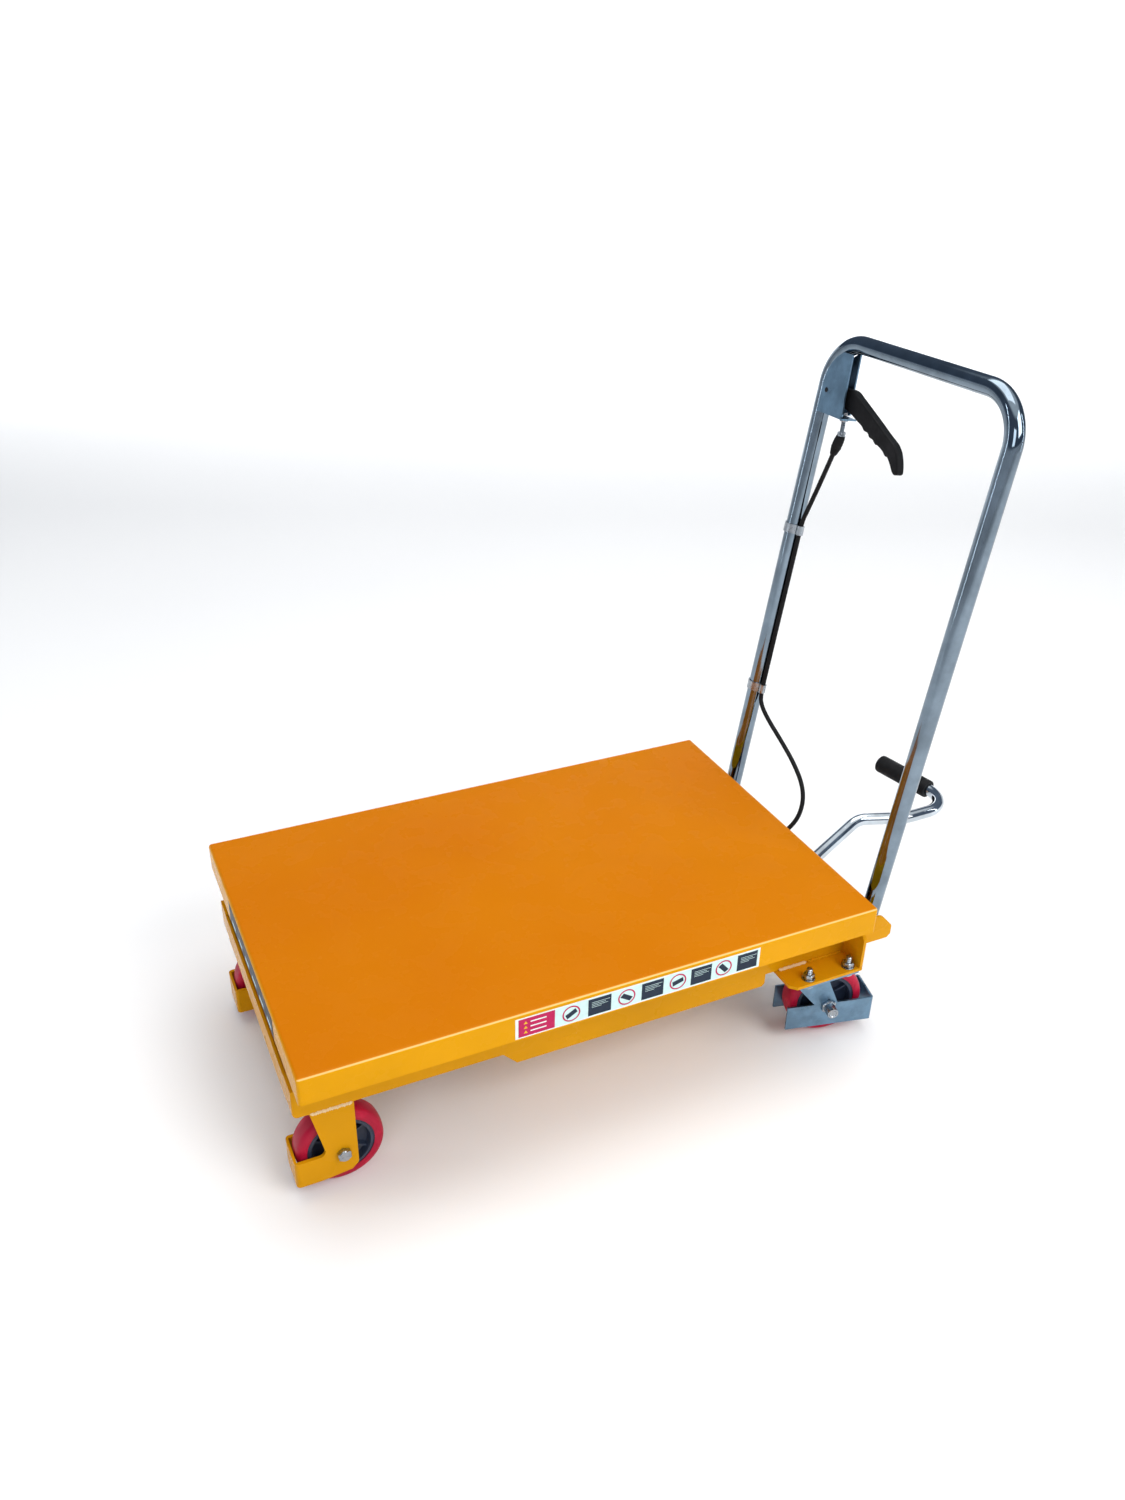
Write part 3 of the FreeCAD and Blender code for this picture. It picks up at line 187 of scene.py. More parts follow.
def enamel(name, colour, upper_shade=None):
    """Glossy sprayed enamel; the optional second colour is painted shade for the surfaces that face up."""
    s = Shader(name)
    deep = tuple(channel * 0.86 for channel in colour)
    base = s.mix(s.ramp(s.noise(5, 4), 0.0, 1.0, 0.35, 0.7), deep, colour)
    if upper_shade:
        base = paint_upper_shade_and_fold_highlight(s, base, upper_shade)
    specks = s.ramp(s.noise(420, 2), 0.0, 1.0, 0.72, 0.78)
    base = s.mix(specks, base, tuple(channel * 0.8 for channel in colour))
    tint = tuple(min(1.0, channel + 0.25) for channel in colour)
    s.set(Base_Color=base, Roughness=s.ramp(s.noise(26, 4), 0.2, 0.34))
    s.set(Specular_IOR_Level=0.12, Specular_Tint=tint)
    s.bump([(s.noise(160, 2), 0.05), (s.noise(18, 3), 0.05)], 0.0015)
    return s.material


def metal(name, colour, low, high, spangle=90.0, brush=None, depth=0.05):
    """Plated or machined metal: tone and gloss broken up by a grain, brushed if stretched."""
    s = Shader(name)
    grain = s.noise(spangle, 4, 0.6, brush)
    dark = tuple(channel * 0.72 for channel in colour)
    base = s.mix(s.ramp(grain, 0.0, 1.0, 0.35, 0.65), dark, colour)
    stains = s.ramp(s.noise(14, 5), 0.0, 1.0, 0.55, 0.8)
    base = s.mix(stains, base, tuple(channel * 0.6 for channel in colour))
    s.set(Base_Color=base, Metallic=1.0, Roughness=s.ramp(grain, low, high))
    s.bump([(grain, depth), (s.noise(25, 3), depth)], 0.0006)
    return s.material


def plastic(name, colour, low, high, grain, depth, shine=0.5):
    """Moulded plastic or rubber with a fine grain and handling marks."""
    s = Shader(name)
    pale = tuple(min(1.0, channel * 1.7 + 0.004) for channel in colour)
    base = s.mix(s.ramp(s.noise(40, 5, 0.65), 0.0, 1.0, 0.5, 0.85), colour, pale)
    s.set(Base_Color=base, Roughness=s.ramp(s.noise(60, 4), low, high), Specular_IOR_Level=shine)
    s.bump([(s.noise(grain, 2), depth), (s.noise(30, 3), depth)], 0.0008)
    return s.material


def print_ink(name, colour):
    """Ink on a vinyl label, slightly uneven."""
    s = Shader(name)
    pale = tuple(min(1.0, channel * 1.12 + 0.004) for channel in colour)
    base = s.mix(s.ramp(s.noise(220, 3), 0.0, 1.0, 0.4, 0.75), colour, pale)
    s.set(Base_Color=base, Roughness=s.ramp(s.noise(60, 3), 0.4, 0.5), Specular_IOR_Level=0.2)
    s.bump([(s.noise(90, 2), 0.03)], 0.0004)
    return s.material


# the table top's second colour is painted shade on its upward faces
ORANGE = enamel("orange_enamel", (0.80, 0.36, 0.002), (0.57, 0.158, 0.0008))
FRAME_ORANGE = enamel("frame_enamel", (0.72, 0.32, 0.003))
ZINC = metal("zinc_plate", (0.20, 0.33, 0.46), 0.26, 0.46, 70)
BOLT_ZINC = metal("bolt_zinc", (0.42, 0.46, 0.50), 0.2, 0.38, 160)
CHROME = metal("chrome_plate", (0.23, 0.29, 0.35), 0.05, 0.09, 30, depth=0.006)
PEDAL_CHROME = metal("pedal_chrome", (0.62, 0.68, 0.74), 0.04, 0.09, 30, depth=0.008)
STEEL = metal("machined_steel", (0.45, 0.45, 0.46), 0.25, 0.45, 60, (1, 60, 1))
TYRE = plastic("crimson_tread", (0.42, 0.006, 0.035), 0.3, 0.5, 260, 0.06, 0.2)
HUB = plastic("navy_hub", (0.018, 0.028, 0.055), 0.35, 0.6, 260, 0.12)
RUBBER = plastic("black_rubber", (0.009, 0.009, 0.010), 0.5, 0.75, 320, 0.2, shine=0.15)
LEVER_BLACK = plastic("lever_coating", (0.008, 0.008, 0.009), 0.4, 0.6, 260, 0.15, shine=0.12)
PUMP_BLACK = enamel("pump_black", (0.022, 0.024, 0.028))

# finishes of the CAD nodes, by how their names start; any other node is bare steel
CAD_LOOKS = {
    "table_top": ORANGE,
    "side_member": FRAME_ORANGE,
    "caster_bracket": FRAME_ORANGE,
    "front_fork": FRAME_ORANGE,
    "front_cross": FRAME_ORANGE,
    "pump_tray": FRAME_ORANGE,
    "table_rail": FRAME_ORANGE,
    "outer_arm": FRAME_ORANGE,
    "inner_arm": FRAME_ORANGE,
    "outer_cross": FRAME_ORANGE,
    "inner_cross": FRAME_ORANGE,
    "caster_fork": ZINC,
    "caster_plates": ZINC,
    "lever_housing": ZINC,
    "caster_axle": BOLT_ZINC,
    "caster_plate_bolts": BOLT_ZINC,
    "front_axle_bolts": BOLT_ZINC,
    "handle_bolts": BOLT_ZINC,
    "cable_clips": BOLT_ZINC,
    "valve_arm": BOLT_ZINC,
    "pump_body": PUMP_BLACK,
    "oil_reservoir": PUMP_BLACK,
    "cylinder_barrel": PUMP_BLACK,
    "ram": CHROME,
}
for name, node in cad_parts.items():
    fitting = [look for start, look in CAD_LOOKS.items() if name.startswith(start)]
    node.data.materials.clear()
    node.data.materials.append(fitting[0] if fitting else STEEL)

# nodes of bent or cut sheet, whose edges are softened
SHEET_METAL = (
    "table_top", "side_member", "caster_bracket", "front_fork", "front_cross", "pump_tray", "table_rail",
    "outer_arm", "inner_arm", "caster_fork", "caster_plates", "lever_housing", "cable_clips", "pump_body",
    "valve_arm",
)
for name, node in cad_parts.items():
    if not name.startswith(SHEET_METAL):
        continue
    flat = node.modifiers.new("flatten", "DECIMATE")
    flat.decimate_type = "DISSOLVE"
    flat.angle_limit = math.radians(1)
    soft = node.modifiers.new("soften", "BEVEL")
    soft.width = 0.0006
    soft.segments = 2
    soft.limit_method = "ANGLE"
    soft.angle_limit = math.radians(35)


# ---------------------------------------------------------------- mesh building
def make(name, verts, faces, look, body, node=None, smooth=40.0):
    """A mesh piece that rides on a body and may stand for one CAD node or more."""
    mesh = bpy.data.meshes.new(name)
    mesh.from_pydata([tuple(v) for v in verts], [], faces)
    mesh.validate()
    build = bmesh.new()
    build.from_mesh(mesh)
    bmesh.ops.remove_doubles(build, verts=build.verts, dist=1e-7)
    bmesh.ops.recalc_face_normals(build, faces=build.faces)
    build.to_mesh(mesh)
    build.free()
    mesh.shade_smooth()
    mesh.set_sharp_from_angle(angle=math.radians(smooth))
    mesh.materials.append(look)
    piece = bpy.data.objects.new(name, mesh)
    scene.collection.objects.link(piece)
    if node:
        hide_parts(*([node] if isinstance(node, str) else node))
    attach(piece, body)
    return piece


def basis(axis):
    """Two unit vectors square to an axis and to each other."""
    axis = axis.normalized()
    side = axis.orthogonal().normalized()
    return side, axis.cross(side)


def ring_faces(rings, count):
    """Quads between neighbouring rings of count points each."""
    faces = []
    for ring in range(rings - 1):
        first, second = ring * count, (ring + 1) * count
        for step in range(count):
            after = (step + 1) % count
            faces.append((first + step, first + after, second + after, second + step))
    return faces


def close_ends(faces, count, rings):
    """Cap the first and last ring of a lathe or sweep."""
    faces.append(tuple(range(count)))
    faces.append(tuple(reversed(range((rings - 1) * count, rings * count))))


def lathe_mesh(profile, centre, axis, count):
    """Rings of a turned shape: profile lists (radius, distance along the axis) in millimetres."""
    axis = Vector(axis).normalized()
    side, other = basis(axis)
    verts = []
    for radius, along in profile:
        for step in range(count):
            angle = 2 * math.pi * step / count
            spoke = side * math.cos(angle) + other * math.sin(angle)
            verts.append(centre + axis * (along / 1000) + spoke * (radius / 1000))
    return verts, ring_faces(len(profile), count)


def join(shapes):
    """Several (verts, faces) as one."""
    verts, faces = [], []
    for more_verts, more_faces in shapes:
        offset = len(verts)
        verts.extend(more_verts)
        faces.extend(tuple(index + offset for index in face) for face in more_faces)
    return verts, faces


def solid_lathe(profile, centre, axis, count=48):
    """A turned solid with flat ends."""
    verts, faces = lathe_mesh(profile, centre, axis, count)
    close_ends(faces, count, len(profile))
    return verts, faces


def ring_lathe(profile, centre, axis, count):
    """A turned ring whose profile is a closed loop."""
    return lathe_mesh(list(profile) + [profile[0]], centre, axis, count)


def rounded(corners, radii, steps):
    """The centre line of a bent tube: straight runs and tangent arcs, as points."""
    points = [corners[0]]
    for before, corner, after, radius in zip(corners, corners[1:], corners[2:], radii):
        back, ahead = (before - corner).normalized(), (after - corner).normalized()
        half = (math.pi - back.angle(ahead)) / 2
        reach = radius / 1000 * math.tan(half)
        centre = corner + (back + ahead).normalized() * (radius / 1000 / math.cos(half))
        spoke = corner + back * reach - centre
        axis = (-back).cross(ahead)
        for step in range(steps + 1):
            points.append(centre + Matrix.Rotation(2 * half * step / steps, 3, axis) @ spoke)
    points.append(corners[-1])
    return points


def sweep_mesh(points, radius, count, squash=1.0):
    """A round bar along points; radius in millimetres, one value or one for each point."""
    radii = radius if isinstance(radius, (list, tuple)) else [radius] * len(points)
    tangents = []
    for index in range(len(points)):
        first, last = points[max(0, index - 1)], points[min(len(points) - 1, index + 1)]
        tangents.append((last - first).normalized())
    side, other = basis(tangents[0])
    verts = []
    for index, (point, size) in enumerate(zip(points, radii)):
        if index:
            twist = tangents[index - 1].rotation_difference(tangents[index])
            side.rotate(twist)
            other.rotate(twist)
        for step in range(count):
            angle = 2 * math.pi * step / count
            spoke = side * math.cos(angle) + other * math.sin(angle) * squash
            verts.append(point + spoke * (size / 1000))
    faces = ring_faces(len(points), count)
    close_ends(faces, count, len(points))
    return verts, faces


def hex_mesh(reach, height, centre, axis, turn=0.0):
    """A hexagon nut or bolt head with chamfered corners; reach is its corner radius."""
    axis = Vector(axis).normalized()
    side, other = basis(axis)
    count, flat = 72, reach * math.cos(math.pi / 6)
    rings = [(flat * 0.95, 0), (None, 0.6), (None, height - 0.9), (flat * 0.93, height),
             (flat * 0.5, height)]
    verts = []
    for limit, along in rings:
        for step in range(count):
            angle = 2 * math.pi * step / count
            wedge = (angle + math.pi / 6) % (math.pi / 3) - math.pi / 6
            radius = flat / math.cos(wedge)
            radius = min(radius, limit) if limit else min(radius, reach * 0.985)
            spoke = side * math.cos(angle + turn) + other * math.sin(angle + turn)
            verts.append(centre + axis * (along / 1000) + spoke * (radius / 1000))
    faces = ring_faces(len(rings), count)
    close_ends(faces, count, len(rings))
    return verts, faces


def thread_mesh(radius, length, centre, axis, pitch=1.5):
    """A threaded end as a stack of ridges with a chamfered tip."""
    profile = [(radius, 0)]
    along = 0.3
    while along + pitch < length - 1:
        profile += [(radius, along), (radius - 0.55, along + pitch * 0.5)]
        along += pitch
    profile += [(radius, length - 1), (radius - 1, length)]
    return solid_lathe(profile, centre, axis, 40)


def washer_mesh(radius, thick, centre, axis):
    """A washer with broken edges, closed where its bolt passes."""
    inner, edge = radius * 0.5, 0.2
    profile = [(inner, 0), (radius - edge, 0), (radius, edge), (radius, thick - edge),
               (radius - edge, thick), (inner, thick)]
    return solid_lathe(profile, centre, axis)


def slab_mesh(outline, low, high, place):
    """An outline of (u, v) pairs pulled from low to high; place(u, v, w) gives each point."""
    count = len(outline)
    verts = [place(u, v, w) for w in (low, high) for u, v in outline]
    faces = [tuple(range(count)), tuple(reversed(range(count, 2 * count)))]
    for index in range(count):
        after = (index + 1) % count
        faces.append((index, after, count + after, count + index))
    return verts, faces


def bevel(piece, width, segments=3, angle=30.0):
    """Round a piece's sharp edges by a width in millimetres."""
    soft = piece.modifiers.new("soften", "BEVEL")
    soft.width = width / 1000
    soft.segments = segments
    soft.limit_method = "ANGLE"
    soft.angle_limit = math.radians(angle)


# ---------------------------------------------------------------- release cable
LEG_Y = 164.8  # half the distance between the handle's legs
TUBE_RADIUS = 11
SHEATH_RADIUS = 3
CLIP_GAP = 0.8
CLIPPED = LEG_Y - TUBE_RADIUS - SHEATH_RADIUS - CLIP_GAP  # the sheath's line where clips hold it
route = [
    on_handle(121, 660), on_handle(128.3, 634), on_handle(139, 598), on_handle(146, 576),
    on_handle(CLIPPED, 564), on_handle(CLIPPED - 0.1, 528), on_handle(CLIPPED - 0.3, 349),
    on_handle(CLIPPED - 0.4, 313), on_handle(141.6, 301.5), on_handle(122, 291), on_handle(84.6, 277.5),
    on_handle(45.7, 261.8), on_handle(15.2, 243.5, -1), on_handle(1.5, 222, -4), on_handle(-3, 200, -13),
    on_handle(2, 181, -30), at(336, 12, 168), at(299, 20, 164), at(268, 22, 165),
]
cable_curve = bpy.data.curves.new("cable_line", "CURVE")
cable_curve.dimensions = "3D"
cable_curve.bevel_depth = SHEATH_RADIUS / 1000
cable_curve.bevel_resolution = 6
cable_curve.resolution_u = 16
cable_curve.use_fill_caps = True
line = cable_curve.splines.new("NURBS")
line.points.add(len(route) - 1)
for knot, point in zip(line.points, route):
    knot.co = (*point, 1)
line.order_u = 3
line.use_endpoint_u = True
cable = bpy.data.objects.new("cable_sheath", cable_curve)
scene.collection.objects.link(cable)
cable_curve.materials.append(RUBBER)
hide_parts("release_cable")
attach(cable, "base")

up = (route[0] - route[1]).normalized()
boot_profile = [(3.4, 0), (4.2, 0.2)]
for rib in range(5):
    along = 1.2 + rib * 2.1
    size = 4.4 + rib * 0.45
    boot_profile += [(size, along), (size + 0.5, along + 0.5), (size + 0.5, along + 1.0),
                     (size, along + 1.5)]
boot_profile += [(6.5, 13), (6.6, 14.5), (6.4, 20), (5.7, 25), (5.2, 26), (3, 26)]
make("cable_boot_ribbed", *solid_lathe(boot_profile, route[0], up), RUBBER, "base", "cable_boot")
boot_top = route[0] + up * 0.026
tab = on_handle(116.2, 706)
thread_up = (tab - boot_top).normalized()
length = (tab - boot_top).length * 1000
collar = [(3, -0.6), (5.2, -0.6), (5.2, 0.4), (4.6, 1), (4.6, 1.6), (5.2, 2.2), (5.2, 4.4), (4.4, 5), (3, 5)]
adjuster = join([
    solid_lathe(collar, boot_top, thread_up),
    thread_mesh(3, length - 2, boot_top + thread_up * 0.005, thread_up, 1.2),
    hex_mesh(5.4, 2.6, boot_top + thread_up * ((length - 4) / 1000), thread_up),
])
make("cable_adjuster_threaded", *adjuster, BOLT_ZINC, "base", "cable_adjuster")

# ---------------------------------------------------------------- handle and pedal tubes
HANDLE_FOOT, HANDLE_HEAD = 128, 793.5
HANDLE_BEND = 55
handle_corners = [on_handle(y, z) for y, z in (
    (-LEG_Y, HANDLE_FOOT), (-LEG_Y, HANDLE_HEAD), (LEG_Y, HANDLE_HEAD), (LEG_Y, HANDLE_FOOT))]
handle_line = rounded(handle_corners, (HANDLE_BEND, HANDLE_BEND), 24)
make("handle_bent_tube", *sweep_mesh(handle_line, TUBE_RADIUS, 48), CHROME, "base", "handle_tube")

PEDAL_Z = 220
pedal_corners = [at(304, -54, 116), at(445, -54, PEDAL_Z), at(505, -76, PEDAL_Z), at(590, -75, PEDAL_Z),
                 at(566, 50, PEDAL_Z)]
pedal_line = rounded(pedal_corners, (30, 60, 40), 14)
make("pedal_bent_tube", *sweep_mesh(pedal_line, 8, 36), PEDAL_CHROME, "pedal", "pedal")

ROOT_X, ROOT_Z = 262, 140  # the pedal's pivot
ROOT_Y = (-71, -37)
root_outline = [(-4.5, -30), (5, -30), (12, -12), (44, -34), (62, -14), (56, -4), (14, 12), (4, 14),
                (-6, 12), (-11.5, 6), (-12, 0)]
root_block = slab_mesh(root_outline, *ROOT_Y, lambda u, v, w: at(ROOT_X + u, w, ROOT_Z + v))
bevel(make("pedal_root", *root_block, PUMP_BLACK, "pedal"), 1.5)

bar = (pedal_corners[-1] - pedal_corners[-2]).normalized()
sleeve_start = pedal_corners[-2] + bar * 0.046
sleeve_length = (pedal_corners[-1] - sleeve_start).length * 1000 + 5  # 5 past the tube's end
grip = [(8.2, 0), (11.5, 0), (12.4, 0.8), (12.5, 3)]
for groove in range(5):
    along = 8 + groove * 3.4
    grip += [(12.5, along), (11.7, along + 0.6), (11.7, along + 1.6), (12.5, along + 2.2)]
grip += [(12.5, sleeve_length - 3), (12.1, sleeve_length - 1), (10.8, sleeve_length), (7, sleeve_length),
         (5, sleeve_length - 1)]
make("pedal_grip", *solid_lathe(grip, sleeve_start, bar, 56), RUBBER, "pedal", "pedal_sleeve")


# ---------------------------------------------------------------- wheels
WHEEL_RADIUS = 50
AXLE_Z = WHEEL_RADIUS
FRONT_X, FRONT_Y = -300, 153
SWIVEL_X, SWIVEL_Y = 304.5, 161
TRAIL = 28  # from the swivel's axis to the caster's axle
HEADINGS = {"left": math.radians(9.8), "right": math.radians(-12.8)}


def tyre_profile():
    """Closed loop of the tread's section, with a crowned face and round shoulders."""
    half, shoulder, crown = 14.0, 7.0, 0.6
    points = [(38, -half + 0.6), (42.5, -half)]
    for step in range(9):
        angle = math.radians(-90 + step * 10)
        points.append((WHEEL_RADIUS - shoulder + shoulder * math.cos(angle) - crown,
                       -half + shoulder + shoulder * math.sin(angle)))
    points += [(WHEEL_RADIUS - 0.2, -4), (WHEEL_RADIUS, 0), (WHEEL_RADIUS - 0.2, 4)]
    mirrored = [(radius, -along) for radius, along in reversed(points[:-3])]
    return points + mirrored


def hub_profile():
    """Closed loop of the hub's section: its boss, web and rim."""
    half = 13.2
    points = [(6.1, -17), (10.5, -17), (11.5, -16), (12.5, -8), (14.5, -5), (28, -4), (31, -5.5),
              (32.5, -11), (33.5, -half), (36, -half), (37, -half + 0.8), (38, -half + 0.8)]
    return points + [(radius, -along) for radius, along in reversed(points)]


def rib_mesh(centre, axis, angle):
    """One flat rib of the hub between its boss and its rim."""
    axis = Vector(axis).normalized()
    side, other = basis(axis)
    out = side * math.cos(angle) + other * math.sin(angle)
    wide = axis.cross(out)
    verts = []
    for along, distance, half in ((-9, 12, 1.4), (-9, 32, 1.1), (9, 32, 1.1), (9, 12, 1.4)):
        for sign in (-1, 1):
            spot = axis * along + out * distance + wide * (sign * half)
            verts.append(centre + spot / 1000)
    faces = [(0, 2, 3, 1), (2, 4, 5, 3), (4, 6, 7, 5), (6, 0, 1, 7), (0, 6, 4, 2), (1, 3, 5, 7)]
    return verts, faces


def wheel(centre, axis, place, side):
    """The tread and ribbed hub of the front or caster wheel of one side."""
    body = "%s_wheel_%s" % (place, side)
    tread = ring_lathe(tyre_profile(), centre, axis, 128)
    make(body + "_tread", *tread, TYRE, body, "%s_tyre_%s" % (place, side), 30)
    shapes = [ring_lathe(hub_profile(), centre, axis, 96)]
    shapes += [rib_mesh(centre, axis, math.radians(12 + 60 * number)) for number in range(6)]
    make(body + "_core", *join(shapes), HUB, body, "%s_hub_%s" % (place, side), 35)


for side, sign in SIDES:
    wheel(at(FRONT_X, sign * FRONT_Y, AXLE_Z), (0, 1, 0), "front", side)
    heading = HEADINGS[side]
    centre = at(SWIVEL_X + TRAIL * math.cos(heading), sign * SWIVEL_Y + TRAIL * math.sin(heading), AXLE_Z)
    axis = Vector((-math.sin(heading), math.cos(heading), 0))
    wheel(centre, axis, "caster", side)
    shank = [solid_lathe([(6, -24), (6, 24)], centre, axis, 36)]
    sleeve = [(5.5, 24), (7.5, 24), (7.5, 38.5), (7.0, 40), (5.2, 40), (4.2, 39)]
    shank.append(solid_lathe(sleeve, centre, -axis, 40))
    shank.append(hex_mesh(10.2, 4, centre - axis * 0.024, -axis, 0.3))
    shank.append(washer_mesh(12, 1.2, centre + axis * 0.024, axis))
    shank.append(hex_mesh(9.5, 6, centre + axis * 0.0252, axis))
    make("caster_axle_bolt_" + side, *join(shank), BOLT_ZINC, "caster_" + side, "caster_axle_" + side, 30)

FORK_HALF = 23  # from the wheel's middle to the fork's outer face
axles = []
for sign in (-1, 1):
    centre = at(FRONT_X, sign * FRONT_Y, AXLE_Z)
    for way in (-1, 1):
        axis = Vector((0, way, 0))
        axles.append(hex_mesh(8.2, 6.4, centre + axis * (FORK_HALF / 1000), axis, 0.35))
    axles.append(solid_lathe([(6, -FORK_HALF), (6, FORK_HALF)], centre, Vector((0, 1, 0)), 36))
make("front_axle_nuts", *join(axles), BOLT_ZINC, "base", "front_axle_bolts", 30)

BOLT_X, BOLT_Y = 29, 45  # the plate bolts' distances from the swivel's axis
PLATE_UNDER, BRACKET_TOP = 116.5, 124
WASHER, NUT = 1.4, 6.2
bolts = []
for sign in (-1, 1):
    for along in (-BOLT_X, BOLT_X):
        for out in (-BOLT_Y, BOLT_Y):
            x, y = SWIVEL_X + along, sign * (SWIVEL_Y + out)
            nut_base = BRACKET_TOP + WASHER
            bolts.append(hex_mesh(7.4, 5, at(x, y, PLATE_UNDER), (0, 0, -1), 0.2))
            bolts.append(washer_mesh(8.4, WASHER, at(x, y, BRACKET_TOP), (0, 0, 1)))
            bolts.append(hex_mesh(7.4, NUT, at(x, y, nut_base), (0, 0, 1), 0.5 + along * 0.01))
            bolts.append(thread_mesh(4, 8, at(x, y, 131), (0, 0, 1)))
make("caster_plate_bolt_set", *join(bolts), BOLT_ZINC, "base", "caster_plate_bolts", 30)

# ---------------------------------------------------------------- release lever and its pin
PIN = on_handle(147.5, 733)
NORMAL = Vector((math.cos(LEAN), 0, -math.sin(LEAN)))  # square to the handle's plane
LEVER_HALF = 5.6
PIN_HALF = 13.4


def smooth_outline(points, steps):
    """A closed outline rounded through its points (Catmull-Rom); a repeated point stays sharp."""
    result, count = [], len(points)
    for index in range(count):
        p0, p1, p2, p3 = (Vector((*points[(index + k) % count], 0)) for k in (-1, 0, 1, 2))
        for step in range(steps):
            t = step / steps
            spot = 0.5 * (2 * p1 + (p2 - p0) * t + (2 * p0 - 5 * p1 + 4 * p2 - p3) * t * t
                          + (3 * p1 - p0 - 3 * p2 + p3) * t * t * t)
            result.append((spot.x, spot.y))
    return result


# the lever's outline: its root, its back, its hooked end, and its finger side
lever_line = [
    (152.6, 733), (151, 738.5), (145, 740.6), (118, 741.5), (104, 741), (91, 735.8), (73, 728),
    (49.5, 717.8), (30, 709), (14.6, 702.6), (9, 699.6), (1.5, 693), (-4.6, 683), (-8, 673.5),
    (-7.5, 669.5), (-3, 668), (2, 670.4), (7.2, 676), (15.6, 683.2), (21, 684), (27.2, 688), (38.9, 692),
    (43, 692), (49.9, 696), (56, 696.8), (61.9, 701), (69, 701.8), (75, 705.6), (85.3, 709), (99.4, 713.8),
    (113.2, 717.4), (130, 720.6), (146, 727),
]


def lever_place(u, v, w):
    """A point of the lever: u and v in the handle's plane, w out from it."""
    return on_handle(u, v) + NORMAL * (w / 1000)


lever_slab = slab_mesh(smooth_outline(lever_line, 4), -LEVER_HALF, LEVER_HALF, lever_place)
bevel(make("release_lever_grip", *lever_slab, LEVER_BLACK, "lever", "release_lever", 50), 2.2, 4, 50)
pin = solid_lathe([(3, -PIN_HALF), (3, PIN_HALF)], PIN, NORMAL, 32)
make("lever_pin_head", *pin, PUMP_BLACK, "base", "lever_pin")


# ---------------------------------------------------------------- welds
RIPPLE = 2.6


def weld(name, start, end, width, look):
    """A weld bead: a low bar between two points with ripples and uneven edges."""
    length = (end - start).length * 1000
    count = max(8, int(length / RIPPLE * 6))
    points, radii = [], []
    for index in range(count + 1):
        share = index / count
        phase = share * length / RIPPLE * 2 * math.pi
        ends = min(1.0, share * length / 3 + 0.35, (1 - share) * length / 3 + 0.35)
        wander = 0.3 * math.sin(phase * 0.23 + 1.7) + 0.2 * math.sin(phase * 0.41)
        points.append(start.lerp(end, share) + Vector((0, 0, wander / 1000)))
        radii.append(width / 2 * ends * (1 + 0.16 * math.sin(phase) + 0.08 * math.sin(phase * 0.37 + 0.6)))
    make(name, *sweep_mesh(points, radii, 14, 0.8), look, "base", None, 60)


# pale weld tone is a painted highlight standing for the glints on the beads
GLINT_PAINTED_WELD = enamel("weld_enamel", (0.88, 0.66, 0.38))
WELD_LINES = (
    # name, from X, to X, Y, Z, width, look
    ("fork_weld_outer_", -332, -286, 178.4, 123.2, 4.6, GLINT_PAINTED_WELD),
    ("bracket_weld_", 250, 290, 180, 125, 4, GLINT_PAINTED_WELD),
    ("bracket_seam_", 292, 342, 180, 125, 3, FRAME_ORANGE),
    ("tray_weld_", -60, -20, 177, 123.4, 2.6, FRAME_ORANGE),
    ("tray_weld_rear_", 150, 190, 177, 123.4, 2.6, FRAME_ORANGE),
)
for side, sign in SIDES:
    for name, first_x, last_x, y, z, width, look in WELD_LINES:
        weld(name + side, at(first_x, sign * y, z), at(last_x, sign * y, z), width, look)


# ---------------------------------------------------------------- labels
LABEL_WHITE = print_ink("label_white", (0.82, 0.86, 0.84))
LABEL_PALE = print_ink("label_pale", (0.62, 0.82, 0.80))
LABEL_MAGENTA = print_ink("label_magenta", (0.50, 0.008, 0.09))
LABEL_DARK = print_ink("label_dark", (0.010, 0.022, 0.045))
LABEL_YELLOW = print_ink("label_yellow", (0.80, 0.50, 0.02))


def skirt_place(u, v, w):
    """A point of the near skirt: u along it, v up it, w out from it, in millimetres."""
    return at(u, -225 - w, v)


def patch(name, outline, depth, look, place=skirt_place):
    """A thin print or film on a skirt, its face at depth out from the sheet."""
    make(name, *slab_mesh(outline, depth - 0.12, depth, place), look, "table")


def rectangle(u0, v0, u1, v1):
    """Outline of a rectangle from its lower first corner to its upper last one."""
    return [(u0, v0), (u1, v0), (u1, v1), (u0, v1)]


def ring_patch(name, centre, radius, thick, depth, look, count=40):
    """A printed ring on the near skirt."""
    verts, faces = [], []
    for size in (radius, radius - thick):
        for w in (depth - 0.1, depth):
            for step in range(count):
                angle = 2 * math.pi * step / count
                u, v = centre[0] + size * math.cos(angle), centre[1] + size * math.sin(angle)
                verts.append(skirt_place(u, v, w))
    for step in range(count):
        after = (step + 1) % count
        for a, b in ((0, 1), (1, 3), (3, 2), (2, 0)):
            faces.append((a * count + step, a * count + after, b * count + after, b * count + step))
    make(name, verts, faces, look, "table")


def turned(points, centre, size, angle):
    """Points of a unit shape, scaled by size, turned by angle and put at centre."""
    across, along = math.cos(angle) * size, math.sin(angle) * size
    return [(centre[0] + a * across - b * along, centre[1] + a * along + b * across) for a, b in points]


